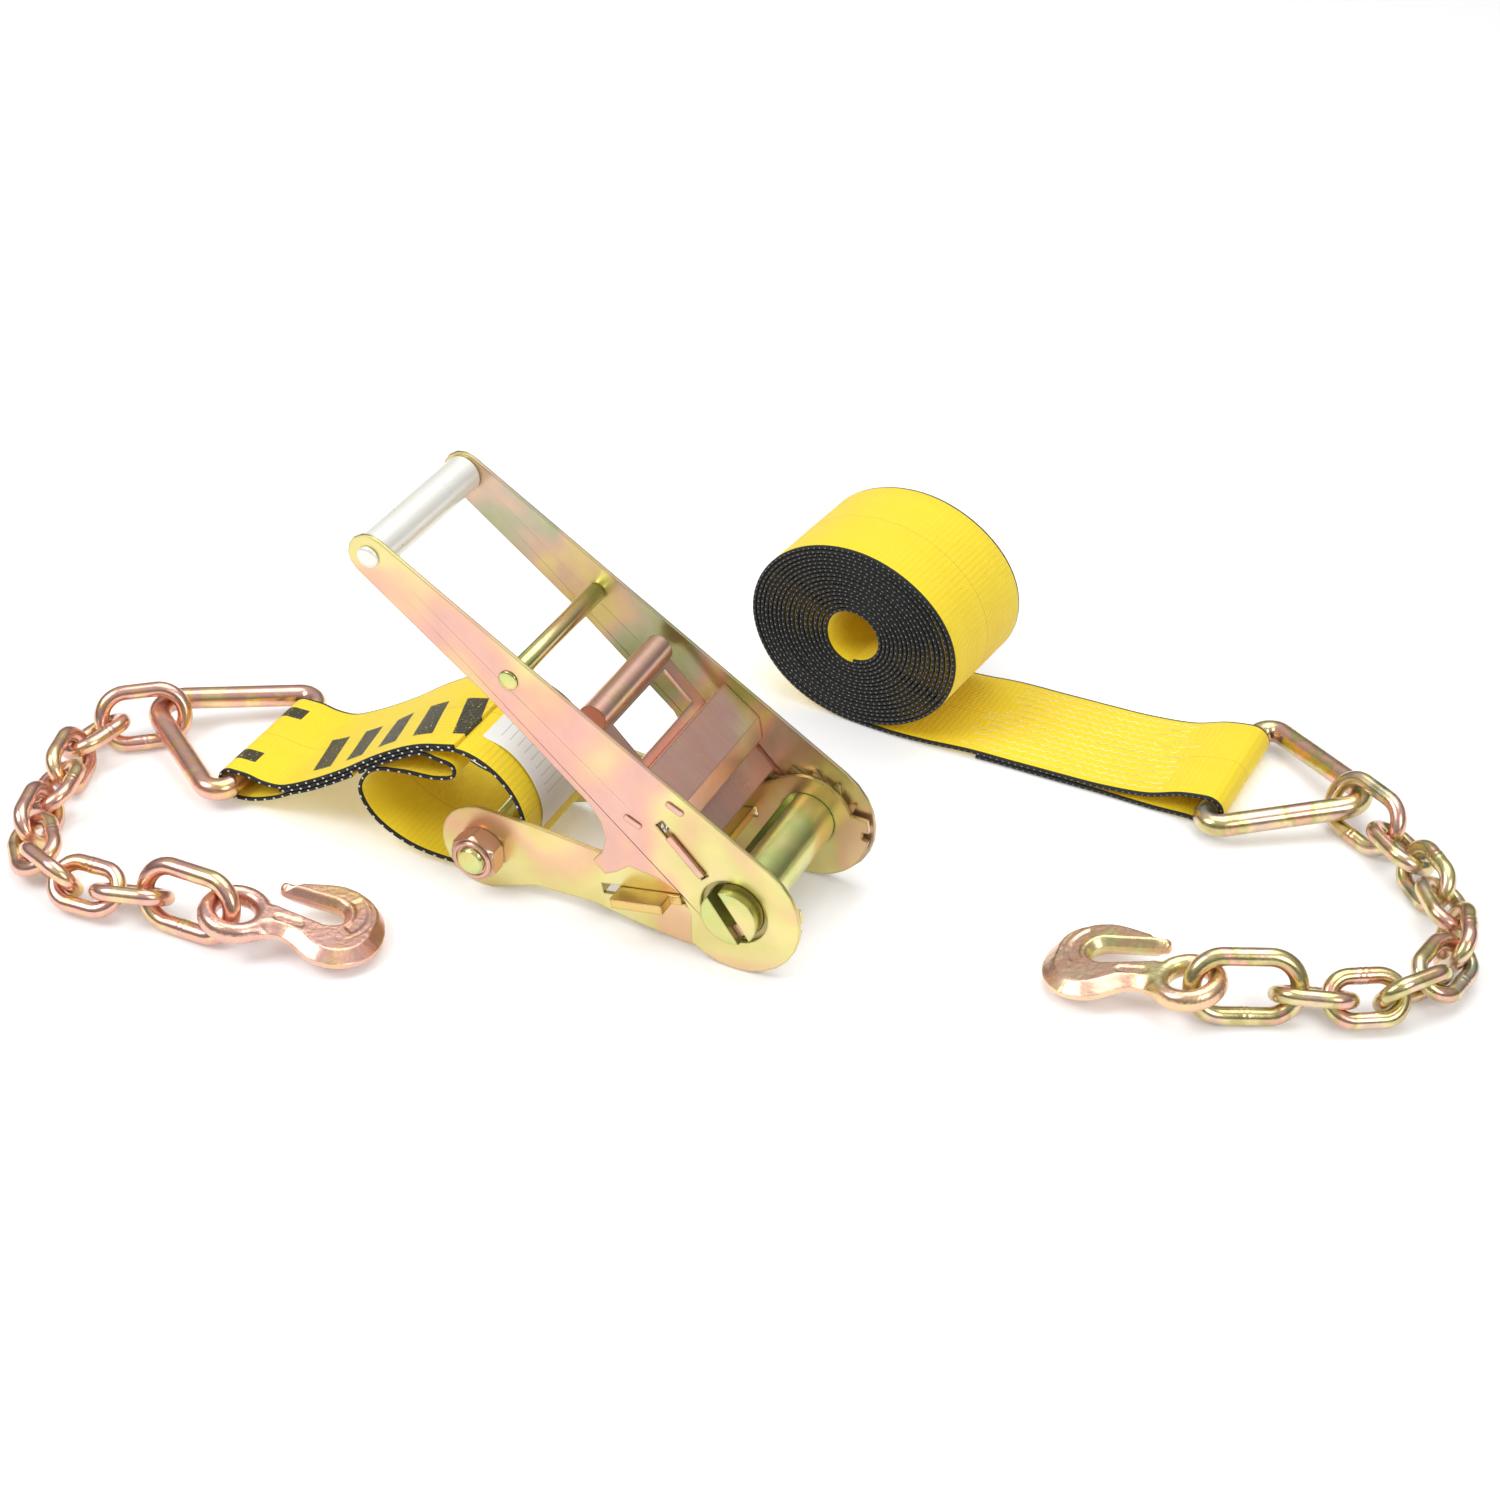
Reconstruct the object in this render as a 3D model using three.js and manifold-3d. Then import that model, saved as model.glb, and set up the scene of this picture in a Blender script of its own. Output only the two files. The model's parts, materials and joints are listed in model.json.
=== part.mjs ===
// A four-inch ratchet tie-down set with chain anchors, laid out on a floor.
// Millimetres. +X runs along the strap from one hook to the other, +Y runs along
// the ratchet's axle, +Z is up and the floor is z = 0.
import * as THREE from 'three';
import { mergeVertices } from 'three/addons/utils/BufferGeometryUtils.js';
import Module from 'manifold-3d';

const wasm = await Module();
wasm.setup();

// ---- driving dimensions ----
const WEB_WIDTH = 100;
const WEB_THICK = 3;
const STACK_THICK = 8;          // three plies sewn together
const CLEAR = 0.3;              // gap between pieces that touch

const AXLE_HEIGHT = 47.3;
const AXLE_RADIUS = 20;
const SLOT_WIDTH = 9;           // the gap that the strap is fed through
const SLOT_TILT = -55;          // degrees, the slot's direction seen from the side
const AXLE_HALF_LENGTH = 69;

const FRAME_GAP = 103;          // between the two frame plates
const FRAME_PLATE = 3;
const GEAR_PLATE = 2.4;
const HANDLE_PLATE = 2.8;
const SIDE_PLAY = 0.4;
const FRAME_OUT = FRAME_GAP / 2 + FRAME_PLATE;
const GEAR_IN = FRAME_OUT + SIDE_PLAY;
const GEAR_OUT = GEAR_IN + GEAR_PLATE;
const HANDLE_IN = GEAR_OUT + SIDE_PLAY;
const HANDLE_OUT = HANDLE_IN + HANDLE_PLATE;

const GEAR_TEETH = 13;
const GEAR_TIP = 38;
const GEAR_ROOT = 30;
const PAWL_REST = 40.4;         // both pawls rest with their edge on this radius
const CAM_LOW = 33.5;           // frame edge where the handle pawl works
const CAM_HIGH = 45;            // frame edge where it would lift the pawl out

const BOLT = { x: -190, z: -15, radius: 10.2, end: 32 };
const BOLT_HEAD = 11;
const NUT = { height: 15, corner: 18.5, bore: 10.5, collar: 14.6 };
const PAWL_TILT = 10.6;         // degrees, base pawl below the horizontal
const HANDLE_RAISE = 37.6;      // degrees, handle above its closed position
const HANDLE_END = 47;
const GRIP_REACH = 325;         // axle to grip
const GRIP_END = 15.5;
const GRIP_RADIUS = 13;
const GRIP_PIN = 5;
const CROSSBAR_REACH = 207;

const FIRST_LINK = { wire: 5.6, halfGap: 13, inner: 48 };
const LINK = { wire: 5.6, halfGap: 9, inner: 36 };
const END_LINK = { wire: 6.2, halfGap: 13.5, inner: 56 };
const LINK_LEAN = [62, -28, 62, -28, 62, -28, 62, -36, 36, -68];   // degrees above the floor
const LINK_PLAY = 2.7;          // slack in each pair of links
const RING_PLAY = 4.8;          // slack between a ring and its first link
const HOOK_PLAY = 2.8;          // slack between the end link and the hook's eye
const RING = { wire: 8, halfBase: 73, height: 108, baseCorner: 11, apexCorner: 18 };
const RING_APEX = RING.height + RING.apexCorner * (1 - Math.hypot(1, RING.height / RING.halfBase));
const HOOK_THICK = 15;
const HOOK_BEVEL = { size: 3.4, depth: 5 };
const HOOK_EYE = 12.5;
const HOOK_LENGTH = 97;         // eye to the outside of the bend

const ROLL = { x: -42, y: 279, halfWidth: 86, halfHeight: 73.4, core: 19, turn: -6 };
const TAIL = { turn: -1.5, start: 40, rest: 0.3, length: 270 };

// ---- finishes ----
const finish = (color, metalness, roughness) =>
  new THREE.MeshStandardMaterial({ color, metalness, roughness });
const YELLOW_ZINC = finish(0xd8ae8a, 0.8, 0.35);
const GOLD_ZINC = finish(0xd9b75a, 0.85, 0.3);
const PINK_ZINC = finish(0xdcb0a2, 0.8, 0.35);
const CHAIN_ZINC = finish(0xc99a7c, 0.85, 0.35);
const WHITE_ZINC = finish(0xd6d8d4, 0.8, 0.3);
const SPRING_STEEL = finish(0xc9c4b4, 0.9, 0.3);
const WEBBING = finish(0xf4d01c, 0, 0.8);
const LABEL = finish(0xf2f2ee, 0, 0.6);

// ---- helpers ----
const radians = THREE.MathUtils.degToRad;
const at = (radius, degrees) =>
  new THREE.Vector2(radius * Math.cos(radians(degrees)), radius * Math.sin(radians(degrees)));
const vec2 = (points) => points.map(([x, y]) => new THREE.Vector2(x, y));

function toManifold(geometry) {
  const bare = geometry.clone();
  bare.deleteAttribute('normal');
  bare.deleteAttribute('uv');
  const merged = mergeVertices(bare, 1e-4);
  const vertProperties = new Float32Array(merged.attributes.position.array);
  const triVerts = new Uint32Array(merged.index.array);
  return new wasm.Manifold(new wasm.Mesh({ numProp: 3, vertProperties, triVerts }));
}

function toGeometry(manifold) {
  const { vertProperties, triVerts } = manifold.getMesh();
  const geometry = new THREE.BufferGeometry();
  geometry.setAttribute('position', new THREE.BufferAttribute(new Float32Array(vertProperties), 3));
  geometry.setIndex(new THREE.BufferAttribute(new Uint32Array(triVerts), 1));
  return geometry;
}

const cut = (geometry, ...tools) => toGeometry(
  tools.reduce((rest, tool) => rest.subtract(toManifold(tool)), toManifold(geometry)));
const join = (...pieces) => toGeometry(
  pieces.map(toManifold).reduce((whole, piece) => whole.add(piece)));

// Points on an arc about a centre, from one angle to another.
function arc(cx, cy, radius, from, to, steps) {
  const turn = (to - from) / steps;
  return Array.from({ length: steps + 1 }, (_, i) =>
    at(radius, from + turn * i).add(new THREE.Vector2(cx, cy)));
}

const circle = (cx, cy, radius, steps) => arc(cx, cy, radius, 0, 360, steps).slice(0, -1);

// A plate with its outline in X and Z, and its faces at two values of y.
function plate(outline, yLow, yHigh, holes = []) {
  const shape = new THREE.Shape(outline);
  shape.holes = holes.map((hole) => new THREE.Path(hole));
  const geometry = new THREE.ExtrudeGeometry(shape, { depth: yHigh - yLow, bevelEnabled: false });
  return geometry.rotateX(Math.PI / 2).translate(0, yHigh, 0);
}

const box = (x0, x1, y0, y1, z0, z1) => new THREE.BoxGeometry(x1 - x0, y1 - y0, z1 - z0)
  .translate((x0 + x1) / 2, (y0 + y1) / 2, (z0 + z1) / 2);

// A turned piece on an axis along Y, from [radius, y] steps.
const turned = (profile, x, z, sides) =>
  new THREE.LatheGeometry(vec2(profile), sides).translate(x, 0, z);

// An outline of constant thickness on both sides of a smooth line through the points.
function ribbon(points, thickness, samples) {
  const line = new THREE.CatmullRomCurve3(
    points.map(([x, z]) => new THREE.Vector3(x, z, 0)), false, 'centripetal');
  const left = [];
  const right = [];
  for (let i = 0; i <= samples; i += 1) {
    const point = line.getPointAt(i / samples);
    const tangent = line.getTangentAt(i / samples);
    const side = new THREE.Vector2(-tangent.y, tangent.x).multiplyScalar(thickness / 2);
    left.push(new THREE.Vector2(point.x + side.x, point.y + side.y));
    right.unshift(new THREE.Vector2(point.x - side.x, point.y - side.y));
  }
  return [...left, ...right];
}

// Corners of a closed outline, each rounded with its own radius.
function rounded(corners, steps) {
  return corners.flatMap(([x, y, radius], i) => {
    const here = new THREE.Vector2(x, y);
    const [bx, by] = corners.at(i - 1);
    const [nx, ny] = corners[(i + 1) % corners.length];
    const back = new THREE.Vector2(bx, by).sub(here).normalize();
    const next = new THREE.Vector2(nx, ny).sub(here).normalize();
    const half = Math.acos(back.dot(next)) / 2;
    const middle = back.clone().add(next).normalize().multiplyScalar(radius / Math.sin(half));
    const centre = here.clone().add(middle);
    const start = here.clone().addScaledVector(back, radius / Math.tan(half)).sub(centre);
    const end = here.clone().addScaledVector(next, radius / Math.tan(half)).sub(centre);
    const sweep = Math.atan2(start.cross(end), start.dot(end));
    return Array.from({ length: steps + 1 }, (_, k) =>
      start.clone().rotateAround(new THREE.Vector2(), (sweep * k) / steps).add(centre));
  });
}

// Round wire bent into a closed loop that lies in X and Y.
class LoopCurve extends THREE.Curve {
  constructor(points) {
    super();
    this.points = points.map((point) => new THREE.Vector3(point.x, point.y, 0));
    this.points.push(this.points[0].clone());
    this.stops = [0];
    for (let i = 1; i < this.points.length; i += 1) {
      this.stops.push(this.stops[i - 1] + this.points[i].distanceTo(this.points[i - 1]));
    }
  }

  getPoint(t, target = new THREE.Vector3()) {
    const reach = t * this.stops.at(-1);
    let i = 1;
    while (i < this.stops.length - 1 && this.stops[i] < reach) i += 1;
    const part = (reach - this.stops[i - 1]) / (this.stops[i] - this.stops[i - 1]);
    return target.copy(this.points[i - 1]).lerp(this.points[i], part);
  }
}

const wireLoop = (points, radius, steps, sides) =>
  new THREE.TubeGeometry(new LoopCurve(points), steps, radius, sides, true);

const part = new THREE.Group();

function add(parent, name, geometry, material) {
  const mesh = new THREE.Mesh(geometry, material);
  mesh.name = name;
  parent.add(mesh);
  return mesh;
}

const SIDES = [['near', -1], ['far', 1]];

// A plate on one side of the ratchet, given by its distances from the middle.
const sidePlate = (sign, outline, inner, outer, holes) => plate(
  outline, Math.min(sign * inner, sign * outer), Math.max(sign * inner, sign * outer), holes);

// ---- ratchet frame ----
const ratchet = new THREE.Group();
ratchet.position.z = AXLE_HEIGHT;
part.add(ratchet);

// A slot that runs outwards from the axle, at an angle, between two radii.
function radialSlot(angle, from, to, halfWidth) {
  const along = at(1, angle);
  const across = new THREE.Vector2(-along.y, along.x).multiplyScalar(halfWidth);
  const inner = along.clone().multiplyScalar(from);
  const outer = along.clone().multiplyScalar(to);
  return [
    inner.clone().sub(across), outer.clone().sub(across),
    outer.clone().add(across), inner.clone().add(across)];
}

function frameOutline() {
  const lockNotch = vec2([[44.6, -6], [40, -5], [40, 1], [44.9, 1.5]]);
  return [
    ...arc(0, 0, CAM_HIGH, -106, -10, 9), ...lockNotch,
    ...arc(0, 0, CAM_HIGH, 4, 14, 1), ...arc(0, 0, CAM_LOW, 20, 128, 9),
    ...vec2([[-38, 15], [-62, 8], [-108, 11], [-150, 15]]),
    ...arc(BOLT.x, BOLT.z, BOLT.end, 82, 278, 14),
    ...vec2([[-150, -34], [-105, -33], [-80, -38], [-40, -43]])];
}

function gearOutline() {
  const pitch = 360 / GEAR_TEETH;
  return Array.from({ length: GEAR_TEETH }, (_, i) => [
    at(GEAR_TIP, i * pitch), at(GEAR_TIP, i * pitch + 3), at(GEAR_ROOT, i * pitch + 6),
    at(GEAR_ROOT, i * pitch + 12)]).flat();
}

for (const [side, sign] of SIDES) {
  const holes = [
    circle(0, 0, AXLE_RADIUS + 0.4, 28),
    circle(BOLT.x, BOLT.z, BOLT.radius + CLEAR, 16),
    radialSlot(180 + PAWL_TILT, PAWL_REST - 2.5, 101, 4)];
  const frame = sidePlate(sign, frameOutline(), FRAME_GAP / 2, FRAME_OUT, holes);
  add(ratchet, `frame_plate_${side}`, frame, YELLOW_ZINC);
  const gear = sidePlate(sign, gearOutline(), GEAR_IN, GEAR_OUT, [circle(0, 0, AXLE_RADIUS + CLEAR, 28)]);
  add(ratchet, `ratchet_gear_${side}`, gear, SPRING_STEEL);
}

// The strap bolt, its head on the far side and its nut on the near side.
const hexagon = circle(BOLT.x, BOLT.z, NUT.corner, 6);
const BOLT_TIP = FRAME_OUT + CLEAR + NUT.height + 4;
const round = (radius, yLow, yHigh) => turned(
  [[0, yLow], [radius, yLow], [radius, yHigh], [0, yHigh]], BOLT.x, BOLT.z, 20);
add(ratchet, 'strap_bolt', join(
  round(BOLT.radius, -BOLT_TIP, FRAME_OUT + 2),
  plate(hexagon, FRAME_OUT + CLEAR, FRAME_OUT + BOLT_HEAD)), YELLOW_ZINC);
add(ratchet, 'strap_bolt_nut', cut(
  join(plate(hexagon, 4 - BOLT_TIP, -FRAME_OUT - CLEAR), round(NUT.collar, 2 - BOLT_TIP, 8 - BOLT_TIP)),
  round(NUT.bore, -BOLT_TIP - 5, -FRAME_OUT + 5)), PINK_ZINC);

// ---- axle: two half-round bars with the strap's slot between them ----
function axleHalf(sign) {
  const flat = Math.asin(SLOT_WIDTH / 2 / AXLE_RADIUS) * (180 / Math.PI);
  const outline = arc(0, 0, AXLE_RADIUS, flat, 180 - flat, 14)
    .map((point) => new THREE.Vector2(point.x, sign * point.y)
      .rotateAround(new THREE.Vector2(), radians(SLOT_TILT)));
  return plate(sign > 0 ? outline : outline.reverse(), -AXLE_HALF_LENGTH, AXLE_HALF_LENGTH);
}
add(ratchet, 'axle_half_upper', axleHalf(1), GOLD_ZINC);
add(ratchet, 'axle_half_lower', axleHalf(-1), GOLD_ZINC);

// Each key lies in the slot outside the handle plates and holds the halves apart.
for (const [side, sign] of SIDES) {
  const half = SLOT_WIDTH / 2 - CLEAR;
  const key = box(7, 16, sign * 63 - 1.5, sign * 63 + 1.5, -half, half);
  add(ratchet, `axle_key_${side}`, key.rotateY(radians(-SLOT_TILT)), SPRING_STEEL);
}

// ---- base pawl, its springs and the bar behind them ----
const BASE = { thick: 7, outer: 87, lug: 48.5, lugReach: 70, bar: 108 };
const basePawl = new THREE.Group();
basePawl.rotation.y = radians(-PAWL_TILT);
ratchet.add(basePawl);

// The part of a pawl between two reaches from the axle, towards -X.
const pawlBlock = (from, to, halfSpan, halfThick, z) =>
  box(-to, -from, -halfSpan, halfSpan, z - halfThick, z + halfThick);
add(basePawl, 'base_pawl', join(
  pawlBlock(PAWL_REST, BASE.outer, GEAR_OUT, BASE.thick / 2, 0),
  pawlBlock(BASE.lug, BASE.outer, BASE.lugReach, BASE.thick / 2, 0)), GOLD_ZINC);
const springBar = box(-BASE.bar - 4, -BASE.bar + 4, -FRAME_GAP / 2 + CLEAR, FRAME_GAP / 2 - CLEAR, -7, 7);
add(basePawl, 'spring_bar', springBar, YELLOW_ZINC);

// A coil spring along -X, as one wire with closed ends.
function coilSpring(from, to, y, z, radius, wire, turns) {
  const points = Array.from({ length: turns * 8 + 1 }, (_, i) => {
    const spin = at(radius, i * 45);
    return new THREE.Vector3(-from - ((to - from) * i) / (turns * 8), y + spin.x, z + spin.y);
  });
  const path = new THREE.CatmullRomCurve3(points);
  const section = new THREE.Shape(circle(0, 0, wire, 5));
  return new THREE.ExtrudeGeometry(
    section, { steps: turns * 8, bevelEnabled: false, extrudePath: path });
}
for (const [side, sign] of SIDES) {
  const spring = coilSpring(BASE.outer + 1.2, BASE.bar - 5.2, sign * 25, 0, 4.5, 0.8, 4);
  add(basePawl, `base_spring_${side}`, spring, SPRING_STEEL);
}

// ---- handle ----
const handle = new THREE.Group();
handle.rotation.y = radians(HANDLE_RAISE);
ratchet.add(handle);

function handleOutline() {
  const taper = Math.asin((HANDLE_END - GRIP_END) / GRIP_REACH) * (180 / Math.PI);
  const neck = vec2([[-200, -16], [-114, -21.5], [-101, -26], [-91, -34], [-86, -45], [-86, -56],
    [-74, -58], [-70, -50], [-67, -37], [-48, -26], [-30, -22], [-17, -29]]);
  return [
    ...arc(0, 0, HANDLE_END, -94, 90 + taper, 14),
    ...arc(-GRIP_REACH, 0, GRIP_END, 90 + taper, 270, 7),
    ...neck];
}

const TRIGGER_TILT = 8;         // degrees, the handle pawl above the handle's length
for (const [side, sign] of SIDES) {
  const slot = radialSlot(180 - TRIGGER_TILT, 29, 76, 3.6);
  const holes = [
    circle(0, 0, AXLE_RADIUS + 4, 28), circle(-GRIP_REACH, 0, GRIP_PIN + CLEAR, 14),
    circle(-CROSSBAR_REACH, 8, 4.8, 12), slot];
  const outline = sidePlate(sign, handleOutline(), HANDLE_IN, HANDLE_OUT, holes);
  add(handle, `handle_plate_${side}`, outline, YELLOW_ZINC);
}

// The grip is D-shaped, with its flat underneath.
const gripOutline = arc(-GRIP_REACH, 0, GRIP_RADIUS, -38, 218, 16);
add(handle, 'grip', plate(gripOutline, -HANDLE_IN + CLEAR, HANDLE_IN - CLEAR,
  [circle(-GRIP_REACH, 0, GRIP_PIN + CLEAR, 14)]), WHITE_ZINC);
const pinHead = HANDLE_OUT + CLEAR;
add(handle, 'grip_pin', turned([
  [0, -pinHead - 3], [8, -pinHead - 3], [8, -pinHead], [GRIP_PIN, -pinHead],
  [GRIP_PIN, pinHead], [8, pinHead], [8, pinHead + 3], [0, pinHead + 3]],
-GRIP_REACH, 0, 14), WHITE_ZINC);
const barNeck = HANDLE_IN - CLEAR;
add(handle, 'crossbar', turned([
  [0, -HANDLE_OUT - 1.6], [7, -HANDLE_OUT - 1.6], [7, -HANDLE_OUT - CLEAR], [4.5, -HANDLE_OUT - CLEAR],
  [4.5, -barNeck], [6.5, -barNeck], [6.5, barNeck], [4.5, barNeck],
  [4.5, HANDLE_OUT + CLEAR], [7, HANDLE_OUT + CLEAR], [7, HANDLE_OUT + 1.6], [0, HANDLE_OUT + 1.6]],
-CROSSBAR_REACH, 8, 14), GOLD_ZINC);

// The brace is one bent sheet, with a window that the trigger slides through.
const braceOutline = vec2([
  [-104, -9], [-101, -9], [-101, 27], [-73.2, 27], [-62.2, 16.4], [-60, 18.5], [-72, 30], [-104, 30]]);
const braceSheet = plate(braceOutline, -HANDLE_IN + CLEAR, HANDLE_IN - CLEAR);
add(handle, 'handle_brace', cut(braceSheet, box(-106, -99, -46.6, 46.6, 11.5, 17.5)), PINK_ZINC);

// ---- handle pawl: one sheet, with a window for the fingers and a rolled bar ----
const PAWL = {
  halfThick: 1.5, outer: 68, lugHalf: 2.7, lugIn: 31, lugOut: 65, lugReach: HANDLE_OUT + 2.5 };
const TRIGGER = { half: 46, armIn: 36, window: [112, 141], bar: 153, roll: 10 };
const handlePawl = new THREE.Group();
handlePawl.rotation.y = radians(TRIGGER_TILT);
handle.add(handlePawl);
const lugs = cut(
  pawlBlock(PAWL.lugIn, PAWL.lugOut, PAWL.lugReach, PAWL.lugHalf, 0),
  pawlBlock(PAWL.lugIn - 1, PAWL_REST, GEAR_OUT + CLEAR, PAWL.lugHalf + 1, 0),
  pawlBlock(PAWL_REST - 1, PAWL.lugOut + 1, GEAR_OUT - 1, PAWL.lugHalf + 1, 0));
const trigger = join(
  pawlBlock(PAWL_REST, PAWL.outer, GEAR_OUT, PAWL.halfThick, 0), lugs,
  pawlBlock(PAWL.outer - 1, TRIGGER.bar, TRIGGER.half, PAWL.halfThick, 0),
  turned([[0, -TRIGGER.half], [TRIGGER.roll, -TRIGGER.half], [TRIGGER.roll, TRIGGER.half],
    [0, TRIGGER.half]], -TRIGGER.bar, 0, 16));
const fingerWindow = box(
  -TRIGGER.window[1], -TRIGGER.window[0], -TRIGGER.armIn, TRIGGER.armIn, -5, 5);
add(handlePawl, 'handle_pawl', cut(trigger, fingerWindow), PINK_ZINC);
for (const [side, sign] of SIDES) {
  const spring = coilSpring(PAWL.outer + 1.2, 99.8, sign * 52, 0, 3.9, 0.8, 6);
  add(handlePawl, `pawl_spring_${side}`, spring, SPRING_STEEL);
}

// ---- short strap: sewn round the bolt at one end and round a ring at the other ----
const LEFT_BAR = { x: -398, z: 15 };
const FOLD = RING.wire + 1.3 + WEB_THICK / 2;
const strapStack = ribbon([
  [-211, 101.5], [-240, 93], [-272, 75], [-301, 54], [-329, 36], [-352, 24], [-369, 18.5]],
STACK_THICK, 18);
const strapLoop = ribbon([
  [-222, 100.5], [-204, 100], [-184, 93], [-168, 77], [-161, 55], [-165, 28], [-182, 10], [-215, 7],
  [-255, 11], [-281, 26], [-290, 46], [-279, 64], [-255, 71], [-226, 74], [-213, 79], [-212, 87],
  [-224, 92]], WEB_THICK, 52);
const strapFold = ribbon([
  [-360, 22.4], [-379, 25], ...arc(LEFT_BAR.x, LEFT_BAR.z, FOLD, 90, 270, 6).map((p) => [p.x, p.y]),
  [-379, 7.4], [-360, 17.5]], WEB_THICK, 30);
const webPlate = (outline) => plate(outline, -WEB_WIDTH / 2, WEB_WIDTH / 2);
add(part, 'short_strap', join(webPlate(strapStack), webPlate(strapLoop), webPlate(strapFold)), WEBBING);
const LABEL_NEAR = -28;
const LABEL_WIDTH = 50;
const labelOutline = ribbon([[-202, 101.7], [-182, 95.1], [-164, 78], [-157, 55], [-158.5, 42]], 0.8, 12);
add(part, 'strap_label', plate(labelOutline, LABEL_NEAR, LABEL_NEAR + LABEL_WIDTH), LABEL);

// ---- chain sides: a ring, a wide link, eight plain links, a long end link and a grab hook ----
function linkShape({ halfGap, wire, inner }) {
  const bend = halfGap + wire;
  const straight = inner / 2 - halfGap;
  const line = [...arc(straight, 0, bend, -90, 90, 8), ...arc(-straight, 0, bend, 90, 270, 8)];
  return wireLoop(line, wire, 20, 8);
}

const LINKS = [FIRST_LINK, ...Array(8).fill(LINK), END_LINK];
const linkShapes = new Map([FIRST_LINK, LINK, END_LINK].map((link) => [link, linkShape(link)]));
const ringShape = wireLoop(rounded([
  [0, -RING.halfBase, RING.baseCorner], [RING.height, 0, RING.apexCorner],
  [0, RING.halfBase, RING.baseCorner]], 6), RING.wire, 42, 8);

// The hook in its own plane: eye at the origin, bend towards +X, tip towards -Y.
function hookOutline() {
  const shape = new THREE.Shape();
  shape.absarc(0, 0, 25, radians(-40), radians(50), true);
  shape.bezierCurveTo(22, 14, 28, 9, 36, 10);
  shape.bezierCurveTo(46, 11, 52, 22, 66, 22);
  shape.bezierCurveTo(86, 22, 98, 4, 97, -12);
  shape.bezierCurveTo(96, -34, 80, -51, 58, -51);
  shape.bezierCurveTo(46, -50.5, 34, -42, 21.5, -40.4);
  shape.absarc(21.5, -36, 4.4, radians(-90), radians(90), true);
  shape.lineTo(26, -31);
  shape.absarc(57, -21, 10, radians(-90), radians(90), false);
  shape.holes = [new THREE.Path(circle(0, 0, HOOK_EYE, 20))];
  return shape;
}
const hookShape = new THREE.ExtrudeGeometry(hookOutline(), {
  depth: HOOK_THICK - 2 * HOOK_BEVEL.depth, bevelSize: HOOK_BEVEL.size,
  bevelThickness: HOOK_BEVEL.depth, bevelOffset: -HOOK_BEVEL.size, bevelSegments: 1, curveSegments: 7,
}).translate(0, 0, HOOK_BEVEL.depth - HOOK_THICK / 2);

// Places a piece with its length along a heading, rolled about it, at a point.
function lay(mesh, x, y, z, heading, roll, pitch) {
  mesh.rotation.order = 'ZYX';
  mesh.rotation.set(radians(roll), radians(pitch), radians(heading));
  mesh.position.set(x, y, z);
}

// How high the middle of a leaning link is when its lower edge is on the floor.
const restHeight = (link, lean) =>
  link.wire + CLEAR + (link.halfGap + link.wire) * Math.sin(radians(Math.abs(lean)));

// side is +1 where the steep links lean to the left of their heading, and -1 to the right.
function chainSide(parent, prefix, side, bar, headings, hookHeading) {
  const ring = add(parent, `${prefix}_ring`, ringShape, CHAIN_ZINC);
  const heights = LINKS.map((link, i) =>
    Math.max(restHeight(link, LINK_LEAN[i]), restHeight(link, LINK_LEAN[0])));
  const rise = Math.asin((heights[0] - bar.z) / RING_APEX) * (180 / Math.PI);
  lay(ring, bar.x, bar.y, bar.z, bar.heading, 0, -rise);
  const place = at(RING_APEX - RING.apexCorner, bar.heading).add(new THREE.Vector2(bar.x, bar.y));
  place.add(at(RING.apexCorner, headings[0]));
  LINKS.forEach((link, i) => {
    const half = (link.inner - LINK_PLAY) / 2;
    place.add(at(i > 0 ? half : link.inner / 2 - RING.wire - RING_PLAY, headings[i]));
    const mesh = add(parent, `${prefix}_link_${i + 1}`, linkShapes.get(link), CHAIN_ZINC);
    lay(mesh, place.x, place.y, heights[i], headings[i], -side * LINK_LEAN[i], 0);
    place.add(at(half, headings[i]));
  });
  place.add(at(HOOK_EYE - HOOK_PLAY, hookHeading));
  const dip = Math.asin((heights.at(-1) - HOOK_THICK / 2 - CLEAR) / HOOK_LENGTH) * (180 / Math.PI);
  const hook = add(parent, `${prefix}_grab_hook`, hookShape, CHAIN_ZINC);
  lay(hook, place.x, place.y, heights.at(-1), hookHeading, side > 0 ? 180 : 0, dip);
}

chainSide(part, 'left', 1, { x: LEFT_BAR.x, y: 2, z: LEFT_BAR.z, heading: 180 },
  [219, 262, 288, 287, 290, 314, 341, 364, 376, 360], 12);

// ---- long strap: a roll standing on its rim, and the tail that leaves it ----
const roll = plate(
  circle(0, 0, 1, 56).map((p) => new THREE.Vector2(p.x * ROLL.halfWidth, p.y * ROLL.halfHeight)),
  -WEB_WIDTH / 2, WEB_WIDTH / 2, [circle(0, 0, ROLL.core, 20)]);
const rollMesh = add(part, 'strap_roll', roll, WEBBING);
rollMesh.position.set(ROLL.x, ROLL.y, ROLL.halfHeight + TAIL.rest);
rollMesh.rotation.z = radians(ROLL.turn);

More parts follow.
